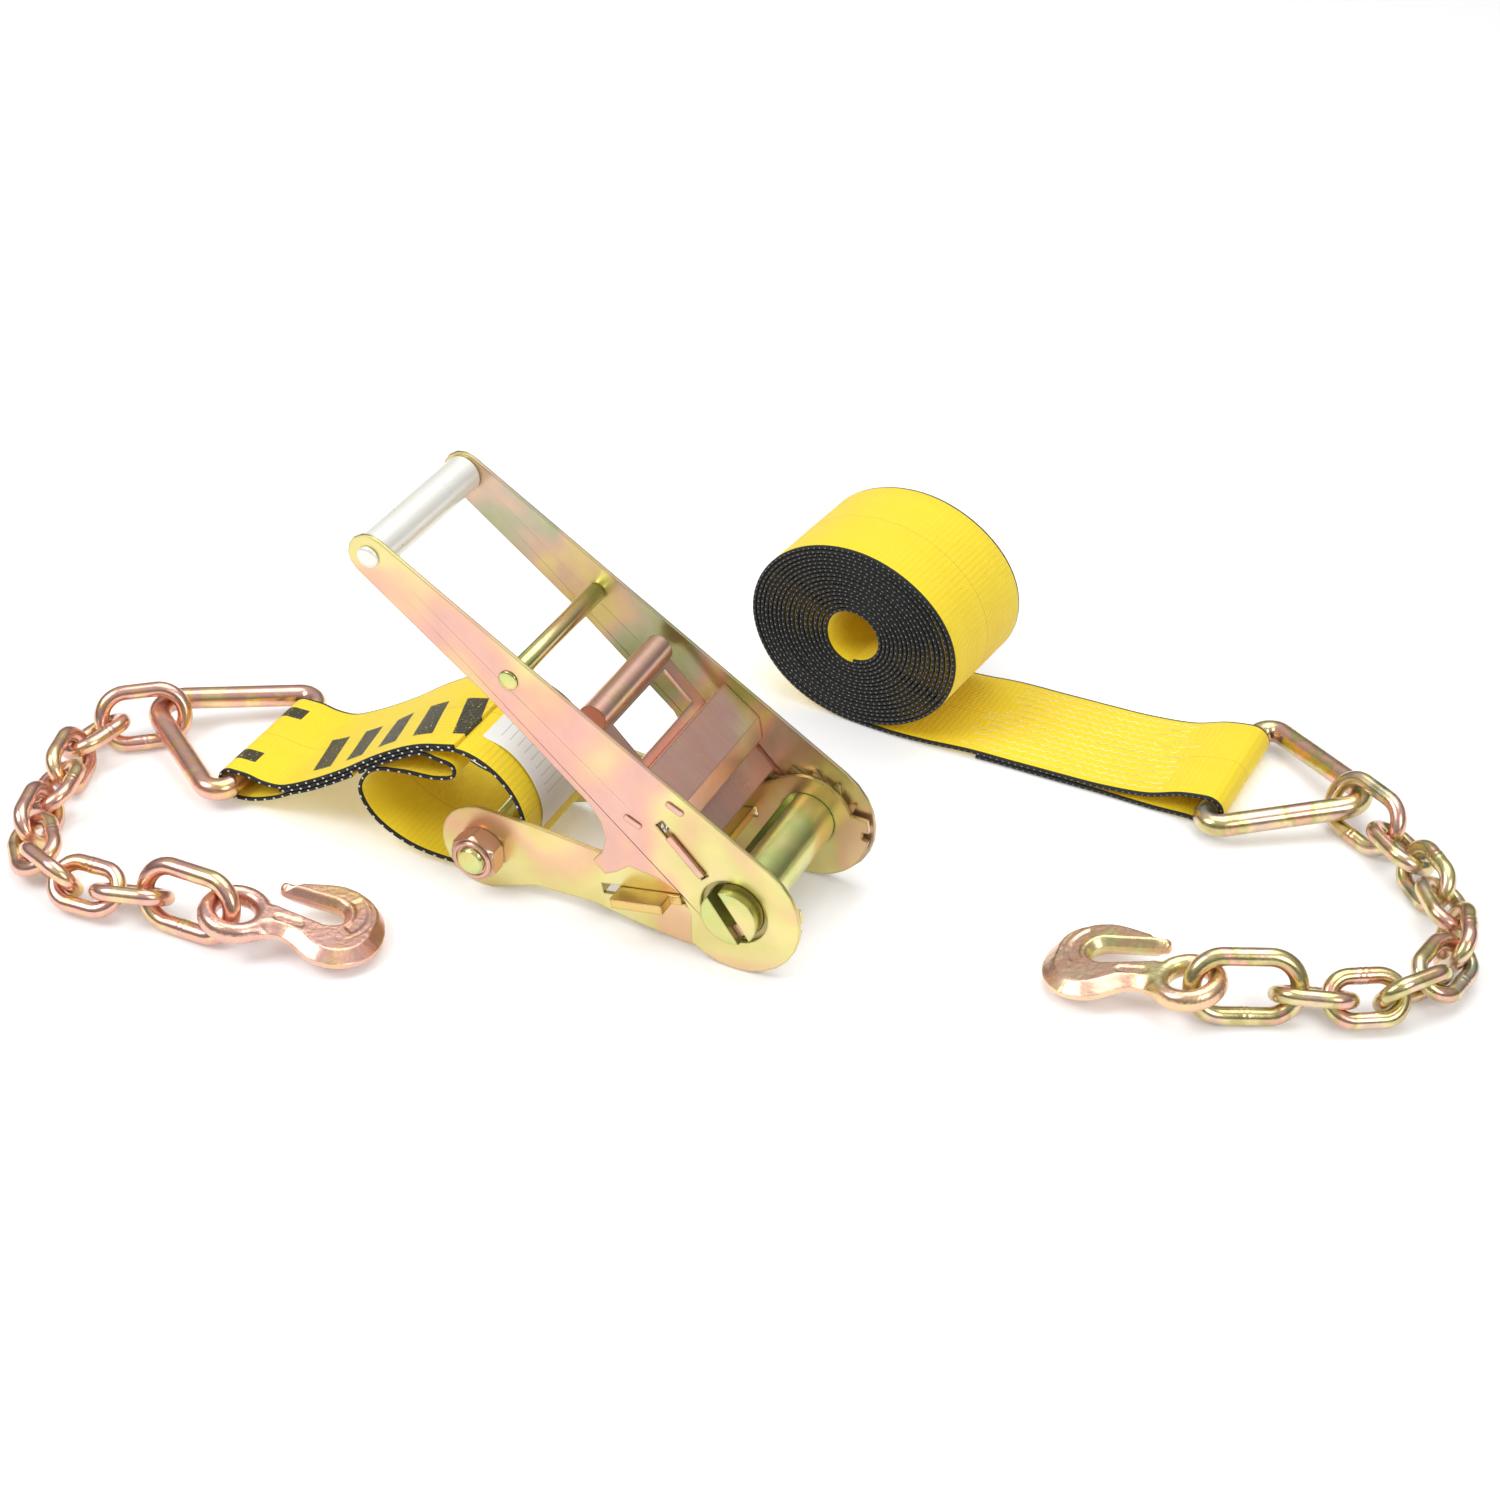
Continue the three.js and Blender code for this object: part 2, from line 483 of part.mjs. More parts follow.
const tail = new THREE.Group();
tail.position.set(ROLL.x, ROLL.y, 0);
tail.rotation.z = radians(TAIL.turn);
part.add(tail);
const tailBar = { x: TAIL.length, y: 0, z: FOLD + WEB_THICK / 2 + TAIL.rest, heading: 0 };
const tailStrap = ribbon([
  [TAIL.start, 4.6], [70, 2.4], [110, 2.4], [150, 2.4], [190, 2.4], [tailBar.x - 20, 2.6],
  ...arc(tailBar.x, tailBar.z, FOLD, -90, 90, 6).map((p) => [p.x, p.y]),
  [tailBar.x - 18, 20], [tailBar.x - 42, 9.6], [tailBar.x - 72, 6.6], [tailBar.x - 104, 5.6]],
WEB_THICK, 60);
add(tail, 'tail_strap', webPlate(tailStrap), WEBBING);
chainSide(tail, 'right', -1, tailBar,
  [-30, -40, -46, -54, -73, -99, -125, -148, -161, -154], -170);

// The origin is under the middle of the whole set, on the floor.
part.updateMatrixWorld(true);
const extent = new THREE.Box3().setFromObject(part, true);
const middle = extent.getCenter(new THREE.Vector3());
part.position.set(-middle.x, -middle.y, -extent.min.z);
part.updateMatrixWorld(true);

export default part;
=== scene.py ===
import json
import math
import random

import bmesh
import bpy
import numpy as np
from mathutils import Matrix, Vector, noise


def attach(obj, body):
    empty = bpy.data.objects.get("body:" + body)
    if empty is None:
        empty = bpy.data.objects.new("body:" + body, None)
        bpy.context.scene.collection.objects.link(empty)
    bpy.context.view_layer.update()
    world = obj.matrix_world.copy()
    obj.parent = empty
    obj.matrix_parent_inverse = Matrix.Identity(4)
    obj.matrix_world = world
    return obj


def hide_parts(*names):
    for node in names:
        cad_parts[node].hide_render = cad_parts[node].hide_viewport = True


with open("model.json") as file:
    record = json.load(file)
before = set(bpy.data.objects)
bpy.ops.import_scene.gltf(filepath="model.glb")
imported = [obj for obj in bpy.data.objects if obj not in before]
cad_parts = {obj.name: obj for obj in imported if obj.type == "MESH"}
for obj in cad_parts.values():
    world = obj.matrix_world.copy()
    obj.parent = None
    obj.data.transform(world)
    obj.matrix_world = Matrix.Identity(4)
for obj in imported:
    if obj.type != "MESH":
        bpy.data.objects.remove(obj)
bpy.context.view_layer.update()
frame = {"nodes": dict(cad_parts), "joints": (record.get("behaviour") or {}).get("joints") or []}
NODES = frame["nodes"]
JOINT = {joint["name"]: joint for joint in frame["joints"]}
MM = 0.001

# The foot of the axle on the floor is where the ratchet's own sizes are counted from.
AXLE_HEIGHT = 47.3
AXLE = Vector(JOINT["axle_spin"]["pos_m"])
FOOT = AXLE - Vector((0, 0, AXLE_HEIGHT * MM))


def row(x, y, z):
    """A point in metres in the row frame, from millimetres counted from the axle's foot."""
    return FOOT + Vector((x, y, z)) * MM


# ---- camera ----
camera_data = bpy.data.cameras.new("camera")
camera_data.lens = 67.92
camera_data.sensor_width = 36
camera = bpy.data.objects.new("camera", camera_data)
bpy.context.scene.collection.objects.link(camera)
camera.location = row(631.4, -1334.5, 1185.6)
camera.rotation_euler = (math.radians(90 - 35.4), 0, math.radians(25.94))
bpy.context.scene.camera = camera
bpy.context.scene.view_settings.view_transform = "Standard"


# ---- node trees ----
class Tree:
    """A material's node tree around one Principled shader."""

    def __init__(self, name, **shader):
        self.material = bpy.data.materials.new(name)
        self.material.use_nodes = True
        self.nodes = self.material.node_tree.nodes
        self.links = self.material.node_tree.links
        self.nodes.clear()
        output = self.add("ShaderNodeOutputMaterial")
        self.shader = self.add("ShaderNodeBsdfPrincipled", shader)
        self.links.new(self.shader.outputs[0], output.inputs[0])

    def add(self, kind, inputs=None, **settings):
        node = self.nodes.new(kind)
        for key, value in settings.items():
            setattr(node, key, value)
        for key, value in (inputs or {}).items():
            self.set(node, key, value)
        return node

    def set(self, node, key, value):
        socket = node.inputs[key]
        if isinstance(value, bpy.types.NodeSocket):
            self.links.new(value, socket)
        else:
            socket.default_value = value

    def math(self, operation, a, b=0.0, clamp=False):
        node = self.add("ShaderNodeMath", {0: a, 1: b}, operation=operation, use_clamp=clamp)
        return node.outputs[0]

    def mix(self, share, a, b, blend="MIX"):
        node = self.add("ShaderNodeMix", {0: share, 6: a, 7: b}, data_type="RGBA", blend_type=blend)
        return node.outputs[2]

    def ramp(self, value, stops, mode="LINEAR"):
        node = self.add("ShaderNodeValToRGB", {0: value})
        ramp = node.color_ramp
        ramp.interpolation = mode
        while len(ramp.elements) < len(stops):
            ramp.elements.new(0.5)
        for element, (place, colour) in zip(ramp.elements, stops):
            element.position = place
            element.color = colour if len(colour) == 4 else (*colour, 1)
        return node.outputs[0]

    def place(self, stretch=(1, 1, 1)):
        """Object coordinates, stretched."""
        coordinates = self.add("ShaderNodeTexCoord").outputs["Object"]
        return self.add("ShaderNodeMapping", {"Vector": coordinates, "Scale": stretch}).outputs[0]

    def noise(self, vector, scale, detail=3.0, rough=0.5, distortion=0.0):
        return self.add("ShaderNodeTexNoise", {
            "Vector": vector, "Scale": scale, "Detail": detail, "Roughness": rough,
            "Distortion": distortion}).outputs[0]

    def band(self, value, low, high):
        """1 between low and high, and 0 outside."""
        above = self.math("GREATER_THAN", value, low)
        return self.math("MULTIPLY", above, self.math("LESS_THAN", value, high))

    def bump(self, height, distance, strength=1.0):
        inputs = {"Height": height, "Distance": distance, "Strength": strength}
        return self.add("ShaderNodeBump", inputs).outputs[0]

    def edges(self, radius):
        """1 on the edges of a plate, and 0 on its flats."""
        round_normal = self.add("ShaderNodeBevel", {"Radius": radius}, samples=4).outputs[0]
        true_normal = self.add("ShaderNodeNewGeometry").outputs["Normal"]
        dot = self.add("ShaderNodeVectorMath", {0: round_normal, 1: true_normal},
                       operation="DOT_PRODUCT").outputs["Value"]
        return self.math("MULTIPLY", self.math("SUBTRACT", 1.0, dot), 7.0, clamp=True)


PINK = (0.86, 0.42, 0.34)
ROSE = (0.90, 0.60, 0.50)
TAN = (0.80, 0.52, 0.24)
GOLD = (0.84, 0.60, 0.12)
STRAW = (0.86, 0.74, 0.36)
GREEN = (0.47, 0.58, 0.14)
PALE_GREEN = (0.66, 0.78, 0.36)
BRONZE = (0.30, 0.22, 0.12)
MAUVE = (0.74, 0.42, 0.44)
GOLD_GREEN = (0.70, 0.68, 0.22)
TEAL = (0.36, 0.50, 0.36)
OLIVE = (0.34, 0.34, 0.12)


def zinc(name, colours, size, roughness, edge=None, grain=0.00006, streak=0.14, metal=0.92):
    """Zinc plate under a chromate film, whose colour drifts across the surface. Some colour lists also
    hold painted shade and painted reflections, and a dark edge colour paints shade along the edges.
    """
    tree = Tree(name, Metallic=metal)
    place = tree.place()
    drift = tree.noise(place, size, 2.2, 0.5, 0.35)
    stops = [(0.26 + 0.48 * i / (len(colours) - 1), colour) for i, colour in enumerate(colours)]
    colour = tree.ramp(drift, stops, "B_SPLINE")
    mottle = tree.noise(place, size * 9, 4, 0.6)
    colour = tree.mix(tree.math("MULTIPLY", mottle, 0.35), colour, (*STRAW, 1))
    streaks = tree.noise(tree.place((30, 900, 30)), 1.0, 3)
    colour = tree.mix(streak, colour, tree.ramp(streaks, [(0.35, (0.4,) * 3), (0.7, (1.0,) * 3)]),
                      "MULTIPLY")
    # Where the edge colour is dark, it is painted shade along the plate edges, partly the chromate film's
    # own darker edges.
    if edge is not None:
        colour = tree.mix(tree.math("MULTIPLY", tree.edges(0.0022), 0.85), colour, (*edge, 1))
    tree.set(tree.shader, "Base Color", colour)
    speckle = tree.noise(tree.place(), 1500, 2)
    wear = tree.noise(tree.place(), 60, 5, 0.65)
    shine = tree.math("MULTIPLY_ADD", wear, 0.16)
    shine.node.inputs[2].default_value = roughness - 0.08
    tree.set(tree.shader, "Roughness", shine)
    rough_height = tree.math("ADD", tree.math("MULTIPLY", wear, 1.4), speckle)
    tree.set(tree.shader, "Normal", tree.bump(rough_height, grain, 0.5))
    return tree.material


# Depth of the surface's roughness, in metres.
FORGED_GRAIN = 0.00012
HOOK_GRAIN = 0.00016
PLATE_ZINC = zinc(
    "plate_zinc", [GREEN, PALE_GREEN, STRAW, GOLD_GREEN, PINK, STRAW, GOLD, GREEN], 10, 0.32, OLIVE)
HANDLE_ZINC = zinc(
    "handle_zinc", [GREEN, STRAW, PINK, MAUVE, PINK, STRAW, GOLD_GREEN, PINK, MAUVE], 8, 0.32, OLIVE)
# Darker olive and teal colours for the far handle plate: painted shade for the shadow of the near parts,
# not a different film.
SHADED_FAR_ZINC = zinc("shaded_far_zinc", [OLIVE, GREEN, MAUVE, GOLD_GREEN, MAUVE, TEAL, OLIVE, PINK], 11, 0.32, BRONZE)
GOLD_ZINC = zinc("gold_zinc", [STRAW, GOLD, PALE_GREEN, GREEN, STRAW, TAN], 14, 0.24, BRONZE)
PINK_ZINC = zinc("pink_zinc", [STRAW, MAUVE, PINK, MAUVE, TAN], 12, 0.30, BRONZE)
PAWL_GOLD = zinc("pawl_gold", [GOLD, TAN, GOLD, GOLD], 16, 0.30, BRONZE)
# The dark olive, teal and bronze stops in the chain colours are painted dark reflections on the links, not
# oxide; the right chain holds more of them. The other stops are the chromate film's own colour.
CHAIN_ZINC = {
    "left": zinc("chain_zinc_left", [GOLD, TAN, PINK, MAUVE, PINK, STRAW, PINK, OLIVE],
                 34, 0.22, None, FORGED_GRAIN),
    "right": zinc("chain_zinc_right", [OLIVE, MAUVE, PINK, OLIVE, STRAW, MAUVE, TEAL, BRONZE],
                  34, 0.22, None, FORGED_GRAIN)}
HOOK_ZINC = {
    "left": zinc("hook_zinc_left", [TAN, PINK, MAUVE, PINK, ROSE, MAUVE],
                 18, 0.26, STRAW, HOOK_GRAIN),
    "right": zinc("hook_zinc_right", [PALE_GREEN, STRAW, PINK, ROSE, GOLD_GREEN, MAUVE],
                  18, 0.26, STRAW, HOOK_GRAIN)}
# The gears' dark bronze and olive colours are painted shade, for the shadow that the handle plates cast on
# them.
SHADED_GEAR_ZINC = zinc("shaded_gear_zinc", [BRONZE, TAN, BRONZE, OLIVE, MAUVE], 18, 0.33, BRONZE)
WHITE_ZINC = zinc("white_zinc", [(0.90, 0.90, 0.89), (0.95, 0.95, 0.94), (0.88, 0.89, 0.89)], 5, 0.30,
                  None, 0.00001, streak=0.03, metal=0.35)
SPRING_STEEL = zinc("spring_steel", [(0.66, 0.65, 0.62), (0.74, 0.72, 0.66)], 40, 0.25)

YELLOW = (0.88, 0.64, 0.008, 1)
YELLOW_PALE = (0.95, 0.74, 0.025, 1)
BLACK = (0.012, 0.012, 0.013, 1)
OFF_WHITE = (0.80, 0.79, 0.72, 1)
HALF_WIDTH = 0.0499
BORDER = 0.0023


def webbing(name, dot_pitch, dot_length, dot_rise, dot_light, marks=None):
    """Woven webbing. Its UV maps hold metres: web is (along, across), edge is (along, through)."""
    tree = Tree(name, Roughness=0.62)
    tree.shader.inputs["Sheen Roughness"].default_value = 0.5
    tree.shader.inputs["Specular IOR Level"].default_value = 0.35
    web = tree.add("ShaderNodeUVMap", uv_map="web").outputs[0]
    edge = tree.add("ShaderNodeUVMap", uv_map="edge").outputs[0]
    split = tree.add("ShaderNodeSeparateXYZ", {0: web}).outputs
    along, across = split[0], split[1]
    through = tree.add("ShaderNodeSeparateXYZ", {0: edge}).outputs[1]
    from_middle = tree.math("ABSOLUTE", across)

    def wave(value, pitch, phase=0.0):
        turned = tree.math("MULTIPLY", value, 2 * math.pi / pitch)
        return tree.math("SINE", tree.math("ADD", turned, phase))

    rib = wave(along, 0.0042)
    pick = wave(along, 0.0014)
    warp = wave(across, 0.0019)
    tone = tree.noise(tree.add("ShaderNodeMapping", {"Vector": web, "Scale": (1, 5, 1)}).outputs[0], 9, 4)
    yellow = tree.mix(tone, YELLOW, YELLOW_PALE)
    thread = tree.math("MULTIPLY", tree.math("ADD", tree.math("MULTIPLY", rib, pick), warp), 0.07)
    yellow = tree.mix(tree.math("ABSOLUTE", thread), yellow, (0.62, 0.38, 0.0, 1))
    faint = tree.math("MULTIPLY", tree.band(from_middle, -1, 0.00035), 0.55)
    yellow = tree.mix(faint, yellow, (0.60, 0.33, 0.06, 1))
    if marks is not None:
        yellow = tree.mix(marks(tree, along, across), yellow, BLACK)
    black_tone = tree.mix(tree.math("MULTIPLY", wave(along, 0.0016), 0.5), BLACK, (0.035, 0.035, 0.037, 1))
    border = tree.math("GREATER_THAN", from_middle, HALF_WIDTH - BORDER)
    colour = tree.mix(border, yellow, black_tone)
    step = tree.math("FRACT", tree.math("DIVIDE", along, dot_pitch))
    dash = tree.band(step, 0.30, 0.30 + dot_length / dot_pitch)
    side = tree.band(from_middle, HALF_WIDTH - 0.0010, 1)
    middle = tree.band(through, -dot_rise, dot_rise)
    dot = tree.math("MULTIPLY", dash, tree.math("MULTIPLY", side, middle))
    colour = tree.mix(tree.math("MULTIPLY", dot, dot_light), colour, OFF_WHITE)
    tree.set(tree.shader, "Sheen Weight", tree.math("MULTIPLY", tree.math("SUBTRACT", 1.0, border), 0.2))
    tree.set(tree.shader, "Base Color", colour)
    tree.set(tree.shader, "Roughness", tree.math("SUBTRACT", 0.68, tree.math("MULTIPLY", tone, 0.12)))
    height = tree.math("ADD", tree.math("MULTIPLY", rib, 0.9), tree.math("MULTIPLY", pick, 0.5))
    height = tree.math("ADD", height, tree.math("MULTIPLY", warp, 0.5))
    height = tree.math("ADD", height, tree.math("MULTIPLY", dot, 1.5))
    tree.set(tree.shader, "Normal", tree.bump(height, 0.00016, 0.8))
    return tree.material


def printed_marks(tree, along, across):
    """Plain black blocks: two short bars by the ring, then a row of slanted ones."""
    bars = tree.math("MULTIPLY", tree.band(along, 0.198, 0.232), tree.math("ADD",
        tree.band(across, -0.034, -0.022), tree.band(across, 0.024, 0.036)))
    leaning = tree.math("ADD", along, tree.math("MULTIPLY", across, -0.35))
    step = tree.math("FRACT", tree.math("DIVIDE", leaning, 0.034))
    blocks = tree.math("MULTIPLY", tree.band(step, 0.12, 0.64), tree.band(across, -0.034, 0.012))
    blocks = tree.math("MULTIPLY", blocks, tree.band(leaning, 0.004, 0.170))
    fleck = tree.noise(tree.place(), 700, 1)
    ink = tree.math("MULTIPLY", tree.math("GREATER_THAN", fleck, 0.30), 0.97)
    return tree.math("MULTIPLY", tree.math("ADD", bars, blocks, clamp=True), ink)


WEB_LONG = webbing("web_long", 0.0048, 0.0011, 0.00042, 0.35)
WEB_RING = webbing("web_ring", 0.0086, 0.0017, 0.00060, 1.0, printed_marks)
WEB_LOOP = webbing("web_loop", 0.0086, 0.0017, 0.00060, 1.0)


def thread_material():
    tree = Tree("sewing_thread", Roughness=0.5)
    place = tree.place()
    colour = tree.ramp(tree.noise(place, 240, 2), [(0.3, (0.90, 0.74, 0.12)), (0.7, (0.97, 0.88, 0.42))])
    tree.set(tree.shader, "Base Color", colour)
    tree.set(tree.shader, "Normal", tree.bump(tree.noise(place, 2600, 1), 0.00008))
    return tree.material


def label_material():
    """A blank woven label with faint rules where print would be."""
    tree = Tree("label_weave", Roughness=0.5)
    web = tree.add("ShaderNodeUVMap", uv_map="web").outputs[0]
    split = tree.add("ShaderNodeSeparateXYZ", {0: web}).outputs
    rule = tree.band(tree.math("FRACT", tree.math("DIVIDE", split[0], 0.0065)), 0.40, 0.52)
    rule = tree.math("MULTIPLY", rule, tree.band(split[0], 0.006, 0.066))
    rule = tree.math("MULTIPLY", rule, tree.band(split[1], -0.016, 0.017))
    weave = tree.noise(tree.place(), 1800, 2)
    colour = tree.mix(tree.math("MULTIPLY", rule, 0.45), (0.86, 0.86, 0.84, 1), (0.30, 0.30, 0.32, 1))
    colour = tree.mix(tree.math("MULTIPLY", weave, 0.12), colour, (0.6, 0.6, 0.58, 1))
    tree.set(tree.shader, "Base Color", colour)
    tree.set(tree.shader, "Normal", tree.bump(weave, 0.0001))
    return tree.material


THREAD = thread_material()
LABEL = label_material()


# ---- mesh helpers ----
def piece(name, vertices, faces, material, body, nodes=(), slot=None, smooth=40):
    mesh = bpy.data.meshes.new(name)
    mesh.from_pydata([tuple(v) for v in vertices], [], faces)
    mesh.update()
    tidy = bmesh.new()
    tidy.from_mesh(mesh)
    bmesh.ops.recalc_face_normals(tidy, faces=tidy.faces)
    tidy.to_mesh(mesh)
    tidy.free()
    return finish_piece(name, mesh, material, body, nodes, slot, smooth)


def finish_piece(name, mesh, material, body, nodes=(), slot=None, smooth=40):
    mesh.materials.clear()
    mesh.materials.append(material)
    mesh.shade_smooth()
    mesh.set_sharp_from_angle(angle=math.radians(smooth))
    thing = bpy.data.objects.new(name, mesh)
    bpy.context.scene.collection.objects.link(thing)
    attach(thing, body)
    if nodes:
        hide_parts(*nodes)
    return thing


def smooth_line(points, step):
    """A centripetal Catmull-Rom line through 2-D points, resampled at an even step."""
    ends = [2 * points[0] - points[1], *points, 2 * points[-1] - points[-2]]
    dense = []
    for i in range(1, len(ends) - 2):
        p = ends[i - 1:i + 3]
        t = [0.0]
        for a, b in zip(p, p[1:]):
            t.append(t[-1] + max((b - a).length, 1e-9) ** 0.5)
        for k in range(24):
            u = t[1] + (t[2] - t[1]) * k / 24
            a = [(p[j] * (t[j + 1] - u) + p[j + 1] * (u - t[j])) / (t[j + 1] - t[j]) for j in range(3)]
            b = [(a[j] * (t[j + 2] - u) + a[j + 1] * (u - t[j])) / (t[j + 2] - t[j]) for j in range(2)]
            dense.append((b[0] * (t[2] - u) + b[1] * (u - t[1])) / (t[2] - t[1]))
    dense.append(ends[-2])
    return resample(dense, step)


def resample(dense, step):
    reach = [0.0]
    for a, b in zip(dense, dense[1:]):
        reach.append(reach[-1] + (b - a).length)
    count = max(2, round(reach[-1] / step))
    line = []
    i = 0
    for k in range(count + 1):
        want = reach[-1] * k / count
        while i < len(dense) - 2 and reach[i + 1] < want:
            i += 1
        share = (want - reach[i]) / max(reach[i + 1] - reach[i], 1e-12)
        line.append(dense[i].lerp(dense[i + 1], min(1.0, share)))
    return line


def arc(cx, cy, radius, start, end, steps):
    angles = [math.radians(start + (end - start) * i / steps) for i in range(steps + 1)]
    return [Vector((cx + radius * math.cos(a), cy + radius * math.sin(a))) for a in angles]


def vec(points):
    return [Vector(p) for p in points]


def offset_line(line, distance):
    """The line moved sideways, to its left where distance is positive."""
    out = []
    for i, p in enumerate(line):
        t = (line[min(i + 1, len(line) - 1)] - line[max(i - 1, 0)]).normalized()
        out.append(p + Vector((-t.y, t.x)) * distance)
    return out


def length_of(line):
    return sum((b - a).length for a, b in zip(line, line[1:]))


def web_strip(name, line, thick, to_frame, material, body, columns=12, half=None, middle=0.0,
              nodes=(), slot="webbing", wander=0.25, phase=0.0):
    """Webbing along a line of (x, z) millimetres, with rounded selvages and two UV maps in metres."""
    half = HALF_WIDTH / MM if half is None else half
    h = thick / 2
    section = [(-half + h + (2 * half - 2 * h) * k / columns, h) for k in range(columns + 1)]
    section += [(half - h + h * math.cos(a), h * math.sin(a)) for a in (math.pi / 4, 0, -math.pi / 4)]
    section += [(-y, -n) for y, n in section]
    size = len(section)
    vertices, stations, s = [], [], 0.0
    for i, p in enumerate(line):
        t = (line[min(i + 1, len(line) - 1)] - line[max(i - 1, 0)]).normalized()
        side = Vector((-t.y, t.x))
        if i:
            s += (p - line[i - 1]).length
        stations.append(s * MM)
        sway = wander * (math.sin(s / 31 + phase) + 0.5 * math.sin(s / 12.7 + 2 * phase))
        for y, n in section:
            ripple = 0.10 * math.sin(s / 9.0 + y / 11.0 + phase) if abs(y) < half - h else 0.0
            q = p + side * (n + ripple)
            vertices.append(to_frame(i, q.x, y + middle + sway, q.y))
    faces = [tuple(range(size))[::-1], tuple(range(len(vertices) - size, len(vertices)))]
    uv_web = [(0.0, section[k][0]) for k in faces[0]]
    uv_edge = [(0.0, section[k][1]) for k in faces[0]]
    uv_web += [(stations[-1] / MM, section[k][0]) for k in range(size)]
    uv_edge += [(stations[-1] / MM, section[k][1]) for k in range(size)]
    for i in range(len(line) - 1):
        for k in range(size):
            n = (k + 1) % size
            faces.append((i * size + k, i * size + n, (i + 1) * size + n, (i + 1) * size + k))
            for j, c in ((i, k), (i, n), (i + 1, n), (i + 1, k)):
                uv_web.append((stations[j] / MM, section[c][0]))
                uv_edge.append((stations[j] / MM, section[c][1]))
    mesh = bpy.data.meshes.new(name)
    mesh.from_pydata([tuple(v) for v in vertices], [], faces)
    for label, values in (("web", uv_web), ("edge", uv_edge)):
        layer = mesh.uv_layers.new(name=label)
        layer.data.foreach_set("uv", (np.array(values, float) * MM).ravel())
    if mesh_volume(vertices, faces) < 0:
        mesh.flip_normals()
    mesh.update()
    return finish_piece(name, mesh, material, body, nodes, slot, 75)


def mesh_volume(vertices, faces):
    total = 0.0
    for f in faces:
        for a, b in zip(f[1:], f[2:]):
            total += Vector(vertices[f[0]]).dot(Vector(vertices[a]).cross(Vector(vertices[b])))
    return total


def ring_faces(rings, size, closed=False):
    """Faces between rows of vertices, where each row is a ring of the same size."""
    faces = []
    for i in range(rings if closed else rings - 1):
        j = (i + 1) % rings
        for k in range(size):
            n = (k + 1) % size
            faces.append((i * size + k, i * size + n, j * size + n, j * size + k))
    return faces


def tube(path, radii, sides, closed=True, up=Vector((0, 0, 1))):
    """Vertices and faces of a round tube along 3-D points."""
    vertices, count = [], len(path)
    for i, p in enumerate(path):
        a = path[i - 1] if closed or i else p
        b = path[(i + 1) % count] if closed or i < count - 1 else p
        t = (b - a).normalized()
        side = t.cross(up).normalized()
        rise = side.cross(t)
        radius = radii[i] if isinstance(radii, list) else radii
        for k in range(sides):
            angle = 2 * math.pi * k / sides
            vertices.append(p + (side * math.cos(angle) + rise * math.sin(angle)) * radius)
    faces = ring_faces(count, sides, closed)
    if not closed:
        faces.append(tuple(range(sides))[::-1])
        faces.append(tuple(range((count - 1) * sides, count * sides)))
    return vertices, faces


def turned(rows, sides, radius_at, to_frame):
    """A surface round the Y axis: rows are (y, share), radius_at gives the radius at an angle and row."""
    vertices = []
    for i, (y, r) in enumerate(rows):
        for k in range(sides):
            a = 2 * math.pi * k / sides
            q = radius_at(a, y, r)
            vertices.append(to_frame(q * math.cos(a), y, q * math.sin(a)))
    faces = [tuple(range(sides)), tuple(range((len(rows) - 1) * sides, len(rows) * sides))[::-1]]
    return vertices, faces + ring_faces(len(rows), sides)


def soften(node, material, width=0.4, segments=2):
    """Gives a CAD node its finish and small rounded edges."""
    thing = NODES[node]
    thing.data.materials.clear()
    thing.data.materials.append(material)
    weld = thing.modifiers.new("weld", "WELD")
    weld.merge_threshold = 1e-5
    bevel = thing.modifiers.new("bevel", "BEVEL")
    bevel.width = width * MM
    bevel.segments = segments
    bevel.limit_method = "ANGLE"
    bevel.angle_limit = math.radians(32)
    bevel.use_clamp_overlap = True
    normal = thing.modifiers.new("normal", "WEIGHTED_NORMAL")
    normal.keep_sharp = False
    thing.data.shade_smooth()
    return thing


# ---- long strap: a wound roll, its tail along the floor, and the fold round the right ring ----
ROLL_X, ROLL_Y = -42, 279
ROLL_TURN, TAIL_TURN = -6, -1.5
ROLL_HALF_WIDTH, ROLL_HALF_HEIGHT, ROLL_CORE = 86, 73.4, 19
LONG_THICK = 2.85
TURNS = 17
TAIL_REST = 0.3
BAR_X = 270
FOLD = 10.8
BAR_Z = FOLD + 1.5 + TAIL_REST


def spiral():
    line = []
    steps = TURNS * 90
    outer = Vector((ROLL_HALF_WIDTH, ROLL_HALF_HEIGHT)) - Vector((1.5, 1.5))
    inner = Vector((ROLL_CORE, ROLL_CORE)) + Vector((1.6, 1.6))
    for i in range(steps + 1):
        t = i / steps
        angle = math.radians(-90) - 2 * math.pi * TURNS * (1 - t)
        size = inner.lerp(outer, t)
        wobble = 1 + 0.012 * math.sin(3 * angle + 1) * (1 - t)
        line.append(Vector((size.x * math.cos(angle) * wobble - 4 * (1 - t) * t * 2,
                            ROLL_HALF_HEIGHT + TAIL_REST + size.y * math.sin(angle) * wobble)))
    return line


roll_line = resample(spiral(), 3.0)
tail_line = smooth_line([roll_line[-2], roll_line[-1], *vec([
    (30, 2.1), (60, 3.2), (88, 5.1), (126, 5.3), (162, 5.8), (196, 7.2), (226, 11.2), (250, 20.0)]),
    *arc(BAR_X, BAR_Z, FOLD, 100, -80, 9), *vec([
        (256, 3.0), (230, 2.0), (186, 1.9), (130, 1.9), (96, 1.9)])], 2.5)[2:]
long_line = roll_line + tail_line
ROLL_COUNT = len(roll_line)


